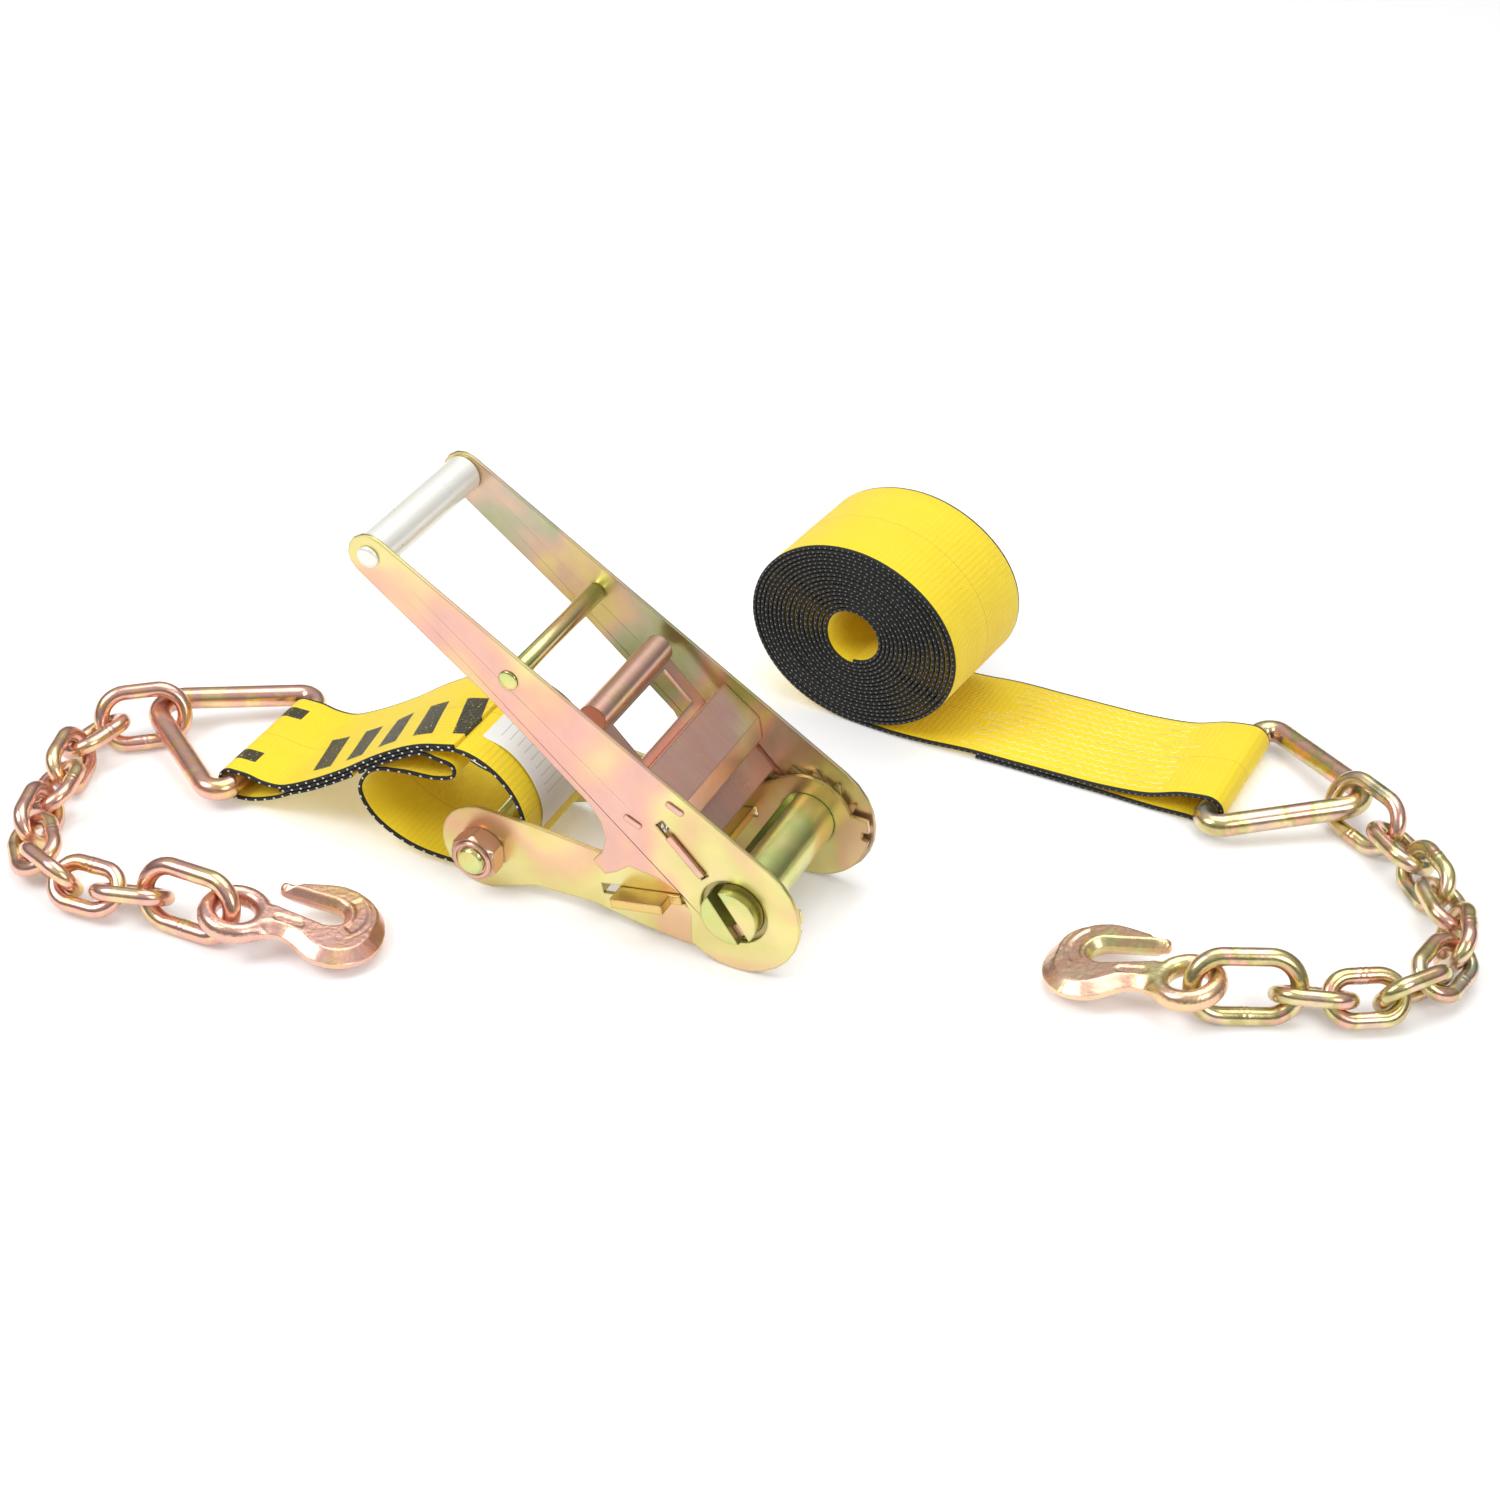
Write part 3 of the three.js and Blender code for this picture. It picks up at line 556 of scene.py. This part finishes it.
def long_frame(i, x, y, z):
    share = 0.0
    if i >= ROLL_COUNT:
        share = min(1.0, max(0.0, x / 110))
        share = share * share * (3 - 2 * share)
    turn = math.radians(ROLL_TURN + (TAIL_TURN - ROLL_TURN) * share)
    return row(ROLL_X + x * math.cos(turn) - y * math.sin(turn),
               ROLL_Y + x * math.sin(turn) + y * math.cos(turn), z)


long_strap = web_strip("long_webbing", long_line, LONG_THICK, long_frame, WEB_LONG, "long_strap",
                       columns=9, nodes=("strap_roll", "tail_strap"), wander=0.35, phase=0.8)


def tail_top(x):
    """Height of the tail's upper face at a distance along it."""
    best = min((p for p in tail_line if p.y > 2.5 or x < 60), key=lambda p: abs(p.x - x))
    return best.y + LONG_THICK / 2


def stitch_rows():
    random.seed(11)
    vertices, faces = [], []
    for k in range(13):
        y = -42 + 7 * k
        start = 80 + random.uniform(-6, 10) + 0.22 * (y + 42)
        end = 236 + random.uniform(-6, 6)
        path = []
        for j in range(int((end - start) / 3.4) + 1):
            x = start + 3.4 * j
            zig = 1.1 * (1 if j % 2 else -1) + 0.5 * math.sin(x / 23 + k)
            path.append(long_frame(ROLL_COUNT, x, y + zig, tail_top(x) + 0.12))
        v, f = tube(path, 0.0006, 5, closed=False)
        faces += [tuple(len(vertices) + n for n in face) for face in f]
        vertices += v
    return vertices, faces


thread = piece("tail_stitching", *stitch_rows(), THREAD, "long_strap", slot="webbing", smooth=80)
length_of(long_line) * MM

# ---- short strap: a ply round the left ring, and a ply that makes the eye round the bolt ----
SHORT_THICK = 2.5
LEFT_BAR = Vector((-398, 15))
STACK = vec([(-211, 101.5), (-240, 93), (-272, 75), (-301, 54), (-329, 36), (-352, 24), (-369, 18.5)])
stack_line = smooth_line(STACK, 3)


def short_frame(_, x, y, z):
    return row(x, y, z)


upper = offset_line(stack_line, -2.75)
lower = offset_line(stack_line, 2.75)
ring_ply = smooth_line([
    *upper[::4][:-1], *vec([(-373, 23.6), (-385, 25.6)]),
    *arc(LEFT_BAR.x, LEFT_BAR.y, FOLD, 80, 275, 8),
    *vec([(-383, 6.4), (-371, 10.6), (-359, 16.2)]),
    *[p for p in lower[::-1] if -349 < p.x < -290][::4]], 2.5)
ring_strap = web_strip("ring_webbing", ring_ply, SHORT_THICK, short_frame, WEB_RING, "frame",
                       columns=14, nodes=("short_strap",), wander=0.3, phase=2.1)
loop_ply = smooth_line([
    *[p for p in stack_line[::-1] if -359 < p.x < -222][::6], *vec([
        (-206, 101.6), (-184, 94), (-168, 77), (-161, 55), (-165, 28), (-182, 10), (-215, 7),
        (-255, 11), (-281, 26), (-290, 46), (-279, 64), (-255, 70.5), (-228, 73.5), (-214, 79.5),
        (-214, 87), (-226, 89.5)]),
    *[p for p in lower if -300 < p.x < -238][::5]], 2.5)
loop_strap = web_strip("eye_webbing", loop_ply, SHORT_THICK, short_frame, WEB_LOOP, "frame",
                       columns=14, wander=0.3, phase=4.4)
label_line = smooth_line(vec([(-202, 102.9), (-182, 96.2), (-166, 79.4), (-158.6, 57), (-160, 41)]), 2)
label = web_strip("blank_label", label_line, 0.5, short_frame, LABEL, "frame", columns=10, half=25,
                  middle=-3, nodes=("strap_label",), slot="label", wander=0.1)
length_of(ring_ply) * MM
length_of(loop_ply) * MM


# ---- chains: each wire loop takes its place from the CAD node that it stands for ----
def axes_of(node):
    """Centre, long axis, wide axis and normal of a CAD node."""
    points = np.array([v.co for v in NODES[node].data.vertices], float)
    centre = points.mean(0)
    _, vectors = np.linalg.eigh(np.cov((points - centre).T))
    return Vector(centre), Vector(vectors[:, 2]), Vector(vectors[:, 1]), Vector(vectors[:, 0])


# Each link's half gap, wire radius and inner length.
FIRST_LINK = (13, 5.6, 48)
LINK = (9, 5.6, 36)
END_LINK = (13.5, 6.2, 56)


def chain_loop(node, half_gap, wire, inner, weld_turn):
    """A link's wire, swollen beside its weld and worn a little at its ends."""
    centre, long_axis, wide_axis, normal = axes_of(node)
    bend = half_gap + wire
    straight = inner / 2 - half_gap
    outline = resample(arc(straight, 0, bend, -90, 90, 24) + arc(-straight, 0, bend, 90, 270, 24)
                       + [Vector((straight, -bend))], 1.1)[:-1]
    path, radii = [], []
    for p in outline:
        path.append(centre + (long_axis * p.x + wide_axis * p.y * weld_turn) * MM)
        from_weld = abs(p.x) if p.y < 0 else 99
        swell = 0.055 * math.exp(-((from_weld - 1.6) / 1.0) ** 2)
        swell -= 0.03 * math.exp(-(from_weld / 0.5) ** 2)
        worn = -0.02 * math.exp(-((abs(p.x) - straight - bend) / 3) ** 2)
        radii.append(wire * MM * (1 + swell + worn))
    vertices, faces = tube(path, radii, 18, up=normal)
    finish = CHAIN_ZINC[node.split("_")[0]]
    return piece(f"{node}_wire", vertices, faces, finish, node, (node,), "chain_zinc", 60)


RING_SIZE = {"wire": 8, "half_base": 73, "height": 108, "base_corner": 11, "apex_corner": 18}


def rounded_corner(before, here, after, radius, steps):
    back = (before - here).normalized()
    ahead = (after - here).normalized()
    half = math.acos(back.dot(ahead)) / 2
    centre = here + (back + ahead).normalized() * (radius / math.sin(half))
    start = here + back * (radius / math.tan(half)) - centre
    end = here + ahead * (radius / math.tan(half)) - centre
    sweep = math.atan2(start.x * end.y - start.y * end.x, start.dot(end))
    return [centre + Matrix.Rotation(sweep * k / steps, 2) @ start for k in range(steps + 1)]


def delta_ring(side):
    """The three-cornered ring, built out from the bar that the webbing wraps."""
    node = f"{side}_ring"
    joint = JOINT[f"{side}_ring_flip"]
    bar = Vector(joint["pos_m"])
    base_axis = Vector(joint["axis"]).normalized()
    centre, _, _, _ = axes_of(node)
    reach = centre - bar
    out_axis = (reach - base_axis * reach.dot(base_axis)).normalized()
    normal = out_axis.cross(base_axis)
    corners = vec([(0, -RING_SIZE["half_base"]), (RING_SIZE["height"], 0), (0, RING_SIZE["half_base"])])
    radii = [RING_SIZE["base_corner"], RING_SIZE["apex_corner"], RING_SIZE["base_corner"]]
    outline = []
    for i in range(3):
        outline += rounded_corner(corners[i - 1], corners[i], corners[(i + 1) % 3], radii[i], 12)
    outline = resample(outline + [outline[0]], 2.2)[:-1]
    path = [bar + (out_axis * p.x + base_axis * p.y) * MM for p in outline]
    vertices, faces = tube(path, RING_SIZE["wire"] * MM, 20, up=normal)
    return piece(f"{node}_wire", vertices, faces, CHAIN_ZINC[side], node, (node,), "chain_zinc", 60)


for side in ("left", "right"):
    delta_ring(side)
    for n in range(1, 11):
        size = {1: FIRST_LINK, 10: END_LINK}.get(n, LINK)
        chain_loop(f"{side}_link_{n}", *size, 1 if n % 2 or n == 10 else -1)

# ---- grab hooks ----
HOOK_HALF_THICK = 7.5
HOOK_EYE = 12.5
THROAT_X, THROAT_Y, THROAT_RADIUS = 57, -21, 10


def bezier(a, b, c, d, steps):
    out = []
    for i in range(1, steps + 1):
        t = i / steps
        u = 1 - t
        out.append(a * u ** 3 + b * 3 * u * u * t + c * 3 * u * t * t + d * t ** 3)
    return out


def hook_outline():
    """The back of the hook from the eye round to the tip, and the throat from the tip to the eye."""
    back = arc(0, 0, 25, 320, 50, 60)
    for b, c, d in [
            ((22, 14), (28, 9), (36, 10)), ((46, 11), (52, 22), (66, 22)), ((86, 22), (98, 4), (97, -12)),
            ((96, -34), (80, -51), (58, -51)), ((46, -50.5), (34, -42), (21.5, -40.4))]:
        back += bezier(back[-1], Vector(b), Vector(c), Vector(d), 14)
    back += arc(21.5, -36, 4.4, 270, 90, 12)[1:]
    throat = [back[-1], Vector((26, -31)), *arc(THROAT_X, THROAT_Y, THROAT_RADIUS, -90, 90, 18), back[0]]
    return back, throat


def curve_loop(curve, points):
    spline = curve.splines.new("POLY")
    spline.points.add(len(points) - 1)
    for target, p in zip(spline.points, points):
        target.co = (p.x * MM, p.y * MM, 0, 1)
    spline.use_cyclic_u = True


def smooth_step(value, low, high):
    t = min(1.0, max(0.0, (value - low) / (high - low)))
    return t * t * (3 - 2 * t)


def flat_hook():
    """The hook's outline raised to its full thickness, as an even mesh."""
    back, throat = hook_outline()
    curve = bpy.data.curves.new("hook_curve", "CURVE")
    curve.dimensions = "2D"
    curve.fill_mode = "BOTH"
    curve.extrude = HOOK_HALF_THICK * MM
    curve_loop(curve, resample(back + throat[1:], 1.2)[:-1])
    curve_loop(curve, arc(0, 0, HOOK_EYE, 360, 0, 60)[:-1])
    holder = bpy.data.objects.new("hook_curve", curve)
    bpy.context.scene.collection.objects.link(holder)
    mesh = bpy.data.meshes.new_from_object(holder)
    bpy.data.objects.remove(holder)
    tidy = bmesh.new()
    tidy.from_mesh(mesh)
    bmesh.ops.remove_doubles(tidy, verts=tidy.verts, dist=1e-6)
    tidy.to_mesh(mesh)
    tidy.free()
    block = bpy.data.objects.new("hook_block", mesh)
    bpy.context.scene.collection.objects.link(block)
    remesh = block.modifiers.new("remesh", "REMESH")
    remesh.mode = "VOXEL"
    remesh.voxel_size = 0.8 * MM
    graph = bpy.context.evaluated_depsgraph_get()
    flat = bpy.data.meshes.new_from_object(block.evaluated_get(graph))
    bpy.data.objects.remove(block)
    return flat


def share_of_bevel(points, line, widths):
    """How far each point is across the bevel along a line: 0 on the line, 1 past the bevel."""
    xy = np.array([(p.x, p.y) for p in line])
    nearest = np.full(len(points), 9.0)
    for first in range(0, len(xy), 40):
        part = xy[first:first + 40]
        gap = np.hypot(points[:, None, 0] - part[None, :, 0], points[:, None, 1] - part[None, :, 1])
        nearest = np.minimum(nearest, (gap / widths[first:first + 40][None, :]).min(1))
    return np.minimum(nearest, 1.0)


def forged_hook():
    """The hook in its own plane: eye at the origin, bend towards +X, tip towards -Y."""
    forged = flat_hook()
    back, throat = hook_outline()
    back, throat = resample(back, 0.7), resample(throat, 0.7)
    hole = resample(arc(0, 0, HOOK_EYE, 360, 0, 120), 0.7)
    points = np.array([v.co for v in forged.vertices], float) / MM
    back_width = np.array([
        3.4 + 5.4 * smooth_step(p.y, -40, -14) if p.x > 26 else 6.3 for p in back])
    bevel = np.minimum(share_of_bevel(points, back, back_width),
                       share_of_bevel(points, throat, np.full(len(throat), 3.8)))
    ring = np.minimum(share_of_bevel(points, back, np.full(len(back), 6.3)),
                      share_of_bevel(points, hole, np.full(len(hole), 6.3)))
    for v, (x, y, z), b, r in zip(forged.vertices, points, bevel, ring):
        forging = 1.9 + (HOOK_HALF_THICK - 1.9) * b
        torus = 0.6 + (HOOK_HALF_THICK - 0.6) * math.sqrt(max(0.0, 1 - (1 - r) ** 2))
        body = smooth_step(x, 15, 27)
        height = torus + (forging - torus) * body
        radius = math.hypot(x - THROAT_X, y - THROAT_Y)
        angle = math.degrees(math.atan2(y - THROAT_Y, x - THROAT_X))
        arc_pad = smooth_step(radius, 16.5, 17.4) * (1 - smooth_step(radius, 24, 24.9))
        arc_pad *= smooth_step(angle, -56, -52) * (1 - smooth_step(angle, 34, 38))
        oval = math.hypot(max(0.0, abs(x - 36) - 7), y + 1.5)
        oval_pad = 1 - smooth_step(oval, 3.0, 3.8)
        groove = math.exp(-((radius - 28.2) / 0.5) ** 2) * smooth_step(angle, -70, -60)
        groove *= 1 - smooth_step(angle, 44, 54)
        height -= (max(arc_pad, oval_pad) * 0.7 + 0.3 * groove) * smooth_step(b, 0.9, 1.0) * body
        grain = 0.12 * noise.noise(Vector((x, y, z)) * 0.45)
        v.co.z = z / HOOK_HALF_THICK * (height + grain - 0.1) * MM
    tidy = bmesh.new()
    tidy.from_mesh(forged)
    bmesh.ops.smooth_vert(tidy, verts=tidy.verts, factor=0.35, use_axis_x=True, use_axis_y=True,
                          use_axis_z=True)
    tidy.to_mesh(forged)
    tidy.free()
    return forged


HOOK_MESH = forged_hook()
# The eye's centre lies past the joint, and the hook leans from its raised eye down to its bend.
EYE_BACK = 11
HOOK_LENGTH = 97
BEND_HEIGHT = 7.8
HOOKS = {"left": {"heading": 12, "roll": 180}, "right": {"heading": -171.5, "roll": 0}}
END_LINK_LEAN = 68
LINK_GAP, LINK_WIRE, _ = END_LINK
HOOK_HEIGHT = LINK_WIRE + TAIL_REST + (LINK_GAP + LINK_WIRE) * math.sin(math.radians(END_LINK_LEAN))
for side, place in HOOKS.items():
    pivot = Vector(JOINT[f"{side}_hook_turn"]["pos_m"])
    dip = math.asin((HOOK_HEIGHT - BEND_HEIGHT) / HOOK_LENGTH)
    turn = (Matrix.Rotation(math.radians(place["heading"]), 4, "Z")
            @ Matrix.Rotation(dip, 4, "Y") @ Matrix.Rotation(math.radians(place["roll"]), 4, "X"))
    eye = pivot + turn @ Vector((EYE_BACK * MM, 0, 0))
    mesh = HOOK_MESH.copy()
    mesh.transform(Matrix.Translation(eye) @ turn)
    finish_piece(f"{side}_forged_hook", mesh, HOOK_ZINC[side], f"{side}_grab_hook", (f"{side}_grab_hook",),
                 "chain_zinc", 80)

# ---- ratchet: plates, gears, axle and pawls keep their CAD shape ----
for side in ("near", "far"):
    soften(f"frame_plate_{side}", PLATE_ZINC, 0.6)
    soften(f"handle_plate_{side}", HANDLE_ZINC if side == "near" else SHADED_FAR_ZINC, 0.5)
    soften(f"ratchet_gear_{side}", SHADED_GEAR_ZINC, 0.3)
    soften(f"axle_key_{side}", PINK_ZINC, 0.4)
    soften(f"base_spring_{side}", SPRING_STEEL, 0.1, 1)
    soften(f"pawl_spring_{side}", SPRING_STEEL, 0.1, 1)
for node in ("axle_half_upper", "axle_half_lower"):
    soften(node, GOLD_ZINC, 1.2, 3)
soften("base_pawl", PAWL_GOLD, 0.7)
soften("spring_bar", PLATE_ZINC, 0.6)
soften("handle_brace", PINK_ZINC, 0.5)
soften("handle_pawl", PINK_ZINC, 0.6)

# The strap bolt and its locking nut.
BOLT_X, BOLT_Z = -190, AXLE_HEIGHT - 15
FRAME_OUT = 54.5
NUT_ACROSS, HEAD_ACROSS = 15.8, 15.9
SHANK_RADIUS, SHANK_END, THREAD_PITCH = 10.1, -73.6, 2.0


def at_bolt(x, y, z):
    return row(BOLT_X + x, y, BOLT_Z + z)


def hex_radius(angle, across):
    sector = (angle + math.pi / 6) % (math.pi / 3) - math.pi / 6
    return across / math.cos(sector)


def hexagon_body(low, high, across):
    def radius_at(angle, y, share):
        chamfer = min(y - low, high - y)
        cone = across * (1.02 + 0.125 * smooth_step(chamfer, 0, 2.4))
        return min(hex_radius(angle, across), cone) if share > 0 else 0.001

    steps = [low + (high - low) * (i / 24) for i in range(25)]
    rows = [(low, 0), *[(y, 1) for y in steps], (high, 0)]
    return turned(rows, 96, radius_at, at_bolt)


def merged(*parts):
    vertices, faces = [], []
    for v, f in parts:
        faces += [tuple(len(vertices) + n for n in face) for face in f]
        vertices += v
    return vertices, faces


def lathe(rows, sides, to_frame):
    return turned(rows, sides, lambda a, y, r: r, to_frame)


NUT_OUT = -FRAME_OUT - 15
nut_part = hexagon_body(NUT_OUT, -FRAME_OUT - 0.3, NUT_ACROSS)
collar = lathe([(NUT_OUT + 1, 11.3), (NUT_OUT + 1, 14.5), (NUT_OUT - 1.0, 14.4), (NUT_OUT - 1.8, 13.6),
                (NUT_OUT - 1.9, 12.4), (NUT_OUT - 1.6, 11.6), (NUT_OUT - 0.8, 11.3)], 64, at_bolt)
piece("locking_nut", *merged(nut_part, collar), PINK_ZINC, "frame", ("strap_bolt_nut",),
      "pink_zinc", 32)


def threaded(angle, y, r):
    phase = (y / THREAD_PITCH + angle / (2 * math.pi)) % 1
    return r - (0.55 * abs(2 * phase - 1) if -73.2 < y < -50 and r > 5 else 0.0)


shank = [(SHANK_END, 0.01), (SHANK_END, 8.8), (-72.8, 9.9)]
shank += [(-72.6 + 0.25 * i, SHANK_RADIUS) for i in range(70)]
shank += [(-54, SHANK_RADIUS), (56, SHANK_RADIUS), (56, 0.01)]
shank_part = turned(shank, 48, threaded, at_bolt)
head_part = hexagon_body(FRAME_OUT + 0.3, FRAME_OUT + 11, HEAD_ACROSS)
piece("threaded_bolt", *merged(shank_part, head_part), GOLD_ZINC, "frame", ("strap_bolt",),
      "yellow_zinc", 32)

# The handle's grip, crossbar and pin, in the raised handle's own frame.
HANDLE_RAISE = math.radians(37.6)


def on_handle(reach, rise):
    """A frame on the handle: x is along it from the axle, z is across it."""
    spin = Matrix.Rotation(HANDLE_RAISE, 3, "Y")

    def to_frame(x, y, z):
        return AXLE + spin @ (Vector((-reach + x, y, rise + z)) * MM)
    return to_frame


GRIP_REACH, GRIP_RADIUS, GRIP_HALF = 325, 13, 57.2
GRIP_FLAT, GRIP_EDGE = 8, 0.8


def grip_radius(angle, _, r):
    """A round tube, flattened underneath."""
    if r < 2 or not 180 < math.degrees(angle) % 360 < 360:
        return r
    flat = GRIP_FLAT / max(0.2, -math.sin(angle))
    return min(GRIP_RADIUS, flat) * r / GRIP_RADIUS


grip_rows = [(-GRIP_HALF, 0.01), (-GRIP_HALF, GRIP_RADIUS - GRIP_EDGE),
             (-GRIP_HALF + GRIP_EDGE, GRIP_RADIUS)]
grip_rows += [(-GRIP_HALF + 2 + (2 * GRIP_HALF - 4) * i / 20, GRIP_RADIUS) for i in range(21)]
grip_rows += [(GRIP_HALF - GRIP_EDGE, GRIP_RADIUS), (GRIP_HALF, GRIP_RADIUS - GRIP_EDGE),
              (GRIP_HALF, 0.01)]
piece("grip_tube", *turned(grip_rows, 72, grip_radius, on_handle(GRIP_REACH, 0)), WHITE_ZINC, "handle",
      ("grip",), "white_zinc", 35)


def rivet_rows(sign, inner, height, radius, shank_radius):
    """A domed head outside a plate, from the plate outwards."""
    rows = [(inner, shank_radius), (inner, radius), (inner + height * 0.35, radius)]
    for i in range(1, 6):
        a = math.pi / 2 * i / 5
        rows.append((inner + height * (0.35 + 0.65 * math.sin(a)), max(0.01, radius * math.cos(a) ** 0.6)))
    return [(sign * y, r) for y, r in rows]


PLATE_OUT = 60.5


def through_bar(name, reach, rise, bar, neck, head, height, material, nodes, slot):
    """A bar between the handle plates, with a thinner neck through each and a domed head outside."""
    near = rivet_rows(-1, PLATE_OUT + 0.3, height, head, neck)[::-1]
    far = rivet_rows(1, PLATE_OUT + 0.3, height, head, neck)
    shoulder = GRIP_HALF
    rows = [*near, (-shoulder, neck), (-shoulder, bar * 0.93), (-shoulder + 0.7, bar),
            (shoulder - 0.7, bar), (shoulder, bar * 0.93), (shoulder, neck), *far]
    return piece(name, *lathe(rows, 48, on_handle(reach, rise)), material, "handle", nodes, slot, 35)


through_bar("grip_rivet", GRIP_REACH, 0, 5, 5, 7.6, 2.8, WHITE_ZINC, ("grip_pin",), "white_zinc")
through_bar("cross_rod", 207, 8, 6.5, 4.5, 7, 1.6, GOLD_ZINC, ("crossbar",), "gold_zinc")


TAB_ROUND = 2.6


def staked_tab(name, reach, rise, half_length, tilt):
    """The flattened end of a brace tab, proud of the near plate."""
    to_frame = on_handle(reach, rise)
    lean = Matrix.Rotation(math.radians(tilt), 2)
    vertices = []
    end = half_length - TAB_ROUND
    outline = arc(end, 0, TAB_ROUND, -90, 90, 8) + arc(-end, 0, TAB_ROUND, 90, 270, 8)
    for depth, share in ((0.0, 1.0), (0.7, 1.0), (1.1, 0.8)):
        for p in outline:
            q = lean @ (p * share)
            vertices.append(to_frame(q.x, -PLATE_OUT - 0.05 - depth, q.y))
    count = len(outline)
    faces = [tuple(range(count)), tuple(range(2 * count, 3 * count))[::-1]]
    piece(name, vertices, faces + ring_faces(3, count), PINK_ZINC, "handle", (), "pink_zinc", 40)


staked_tab("staked_tab_lower", 87, -5, 7, 12)
staked_tab("staked_tab_upper", 75, 29.5, 7, 12)


# ---- floor and light ----
def studio():
    bpy.ops.mesh.primitive_plane_add(size=16, location=(0, 0, -0.0005))
    floor = bpy.context.object
    floor.name = "studio_floor"
    tree = Tree("studio_floor", Roughness=0.9)
    shade = tree.ramp(tree.noise(tree.place(), 3, 2), [(0.0, (0.86,) * 3), (1.0, (0.88,) * 3)])
    tree.set(tree.shader, "Base Color", shade)
    tree.shader.inputs["Specular IOR Level"].default_value = 0.1
    tree.set(tree.shader, "Emission Color", shade)
    tree.shader.inputs["Emission Strength"].default_value = 0.22
    floor.data.materials.append(tree.material)
    world = bpy.data.worlds.new("studio")
    bpy.context.scene.world = world
    world.use_nodes = True
    nodes, links = world.node_tree.nodes, world.node_tree.links
    coordinates = nodes.new("ShaderNodeTexCoord")
    split = nodes.new("ShaderNodeSeparateXYZ")
    ramp = nodes.new("ShaderNodeValToRGB")
    links.new(coordinates.outputs["Generated"], split.inputs[0])
    links.new(split.outputs[2], ramp.inputs[0])
    links.new(ramp.outputs[0], nodes["Background"].inputs[0])
    stops = ramp.color_ramp.elements
    stops[0].position, stops[0].color = 0.0, (0.16, 0.16, 0.16, 1)
    stops[1].position, stops[1].color = 0.75, (1.0, 1.0, 1.0, 1)
    middle = stops.new(0.25)
    middle.color = (0.26, 0.26, 0.26, 1)
    nodes["Background"].inputs[1].default_value = 0.62
    for name, where, size, power in [
            ("key", (-1.3, -1.2, 2.0), 1.2, 30), ("fill", (1.9, -0.9, 1.5), 1.0, 15),
            ("top", (0.1, 0.6, 2.4), 2.0, 30)]:
        light = bpy.data.lights.new(name, "AREA")
        light.size = size
        light.energy = power
        lamp = bpy.data.objects.new(name, light)
        bpy.context.scene.collection.objects.link(lamp)
        lamp.location = where
        lamp.rotation_euler = (-Vector(where)).to_track_quat("-Z", "Y").to_euler()


studio()
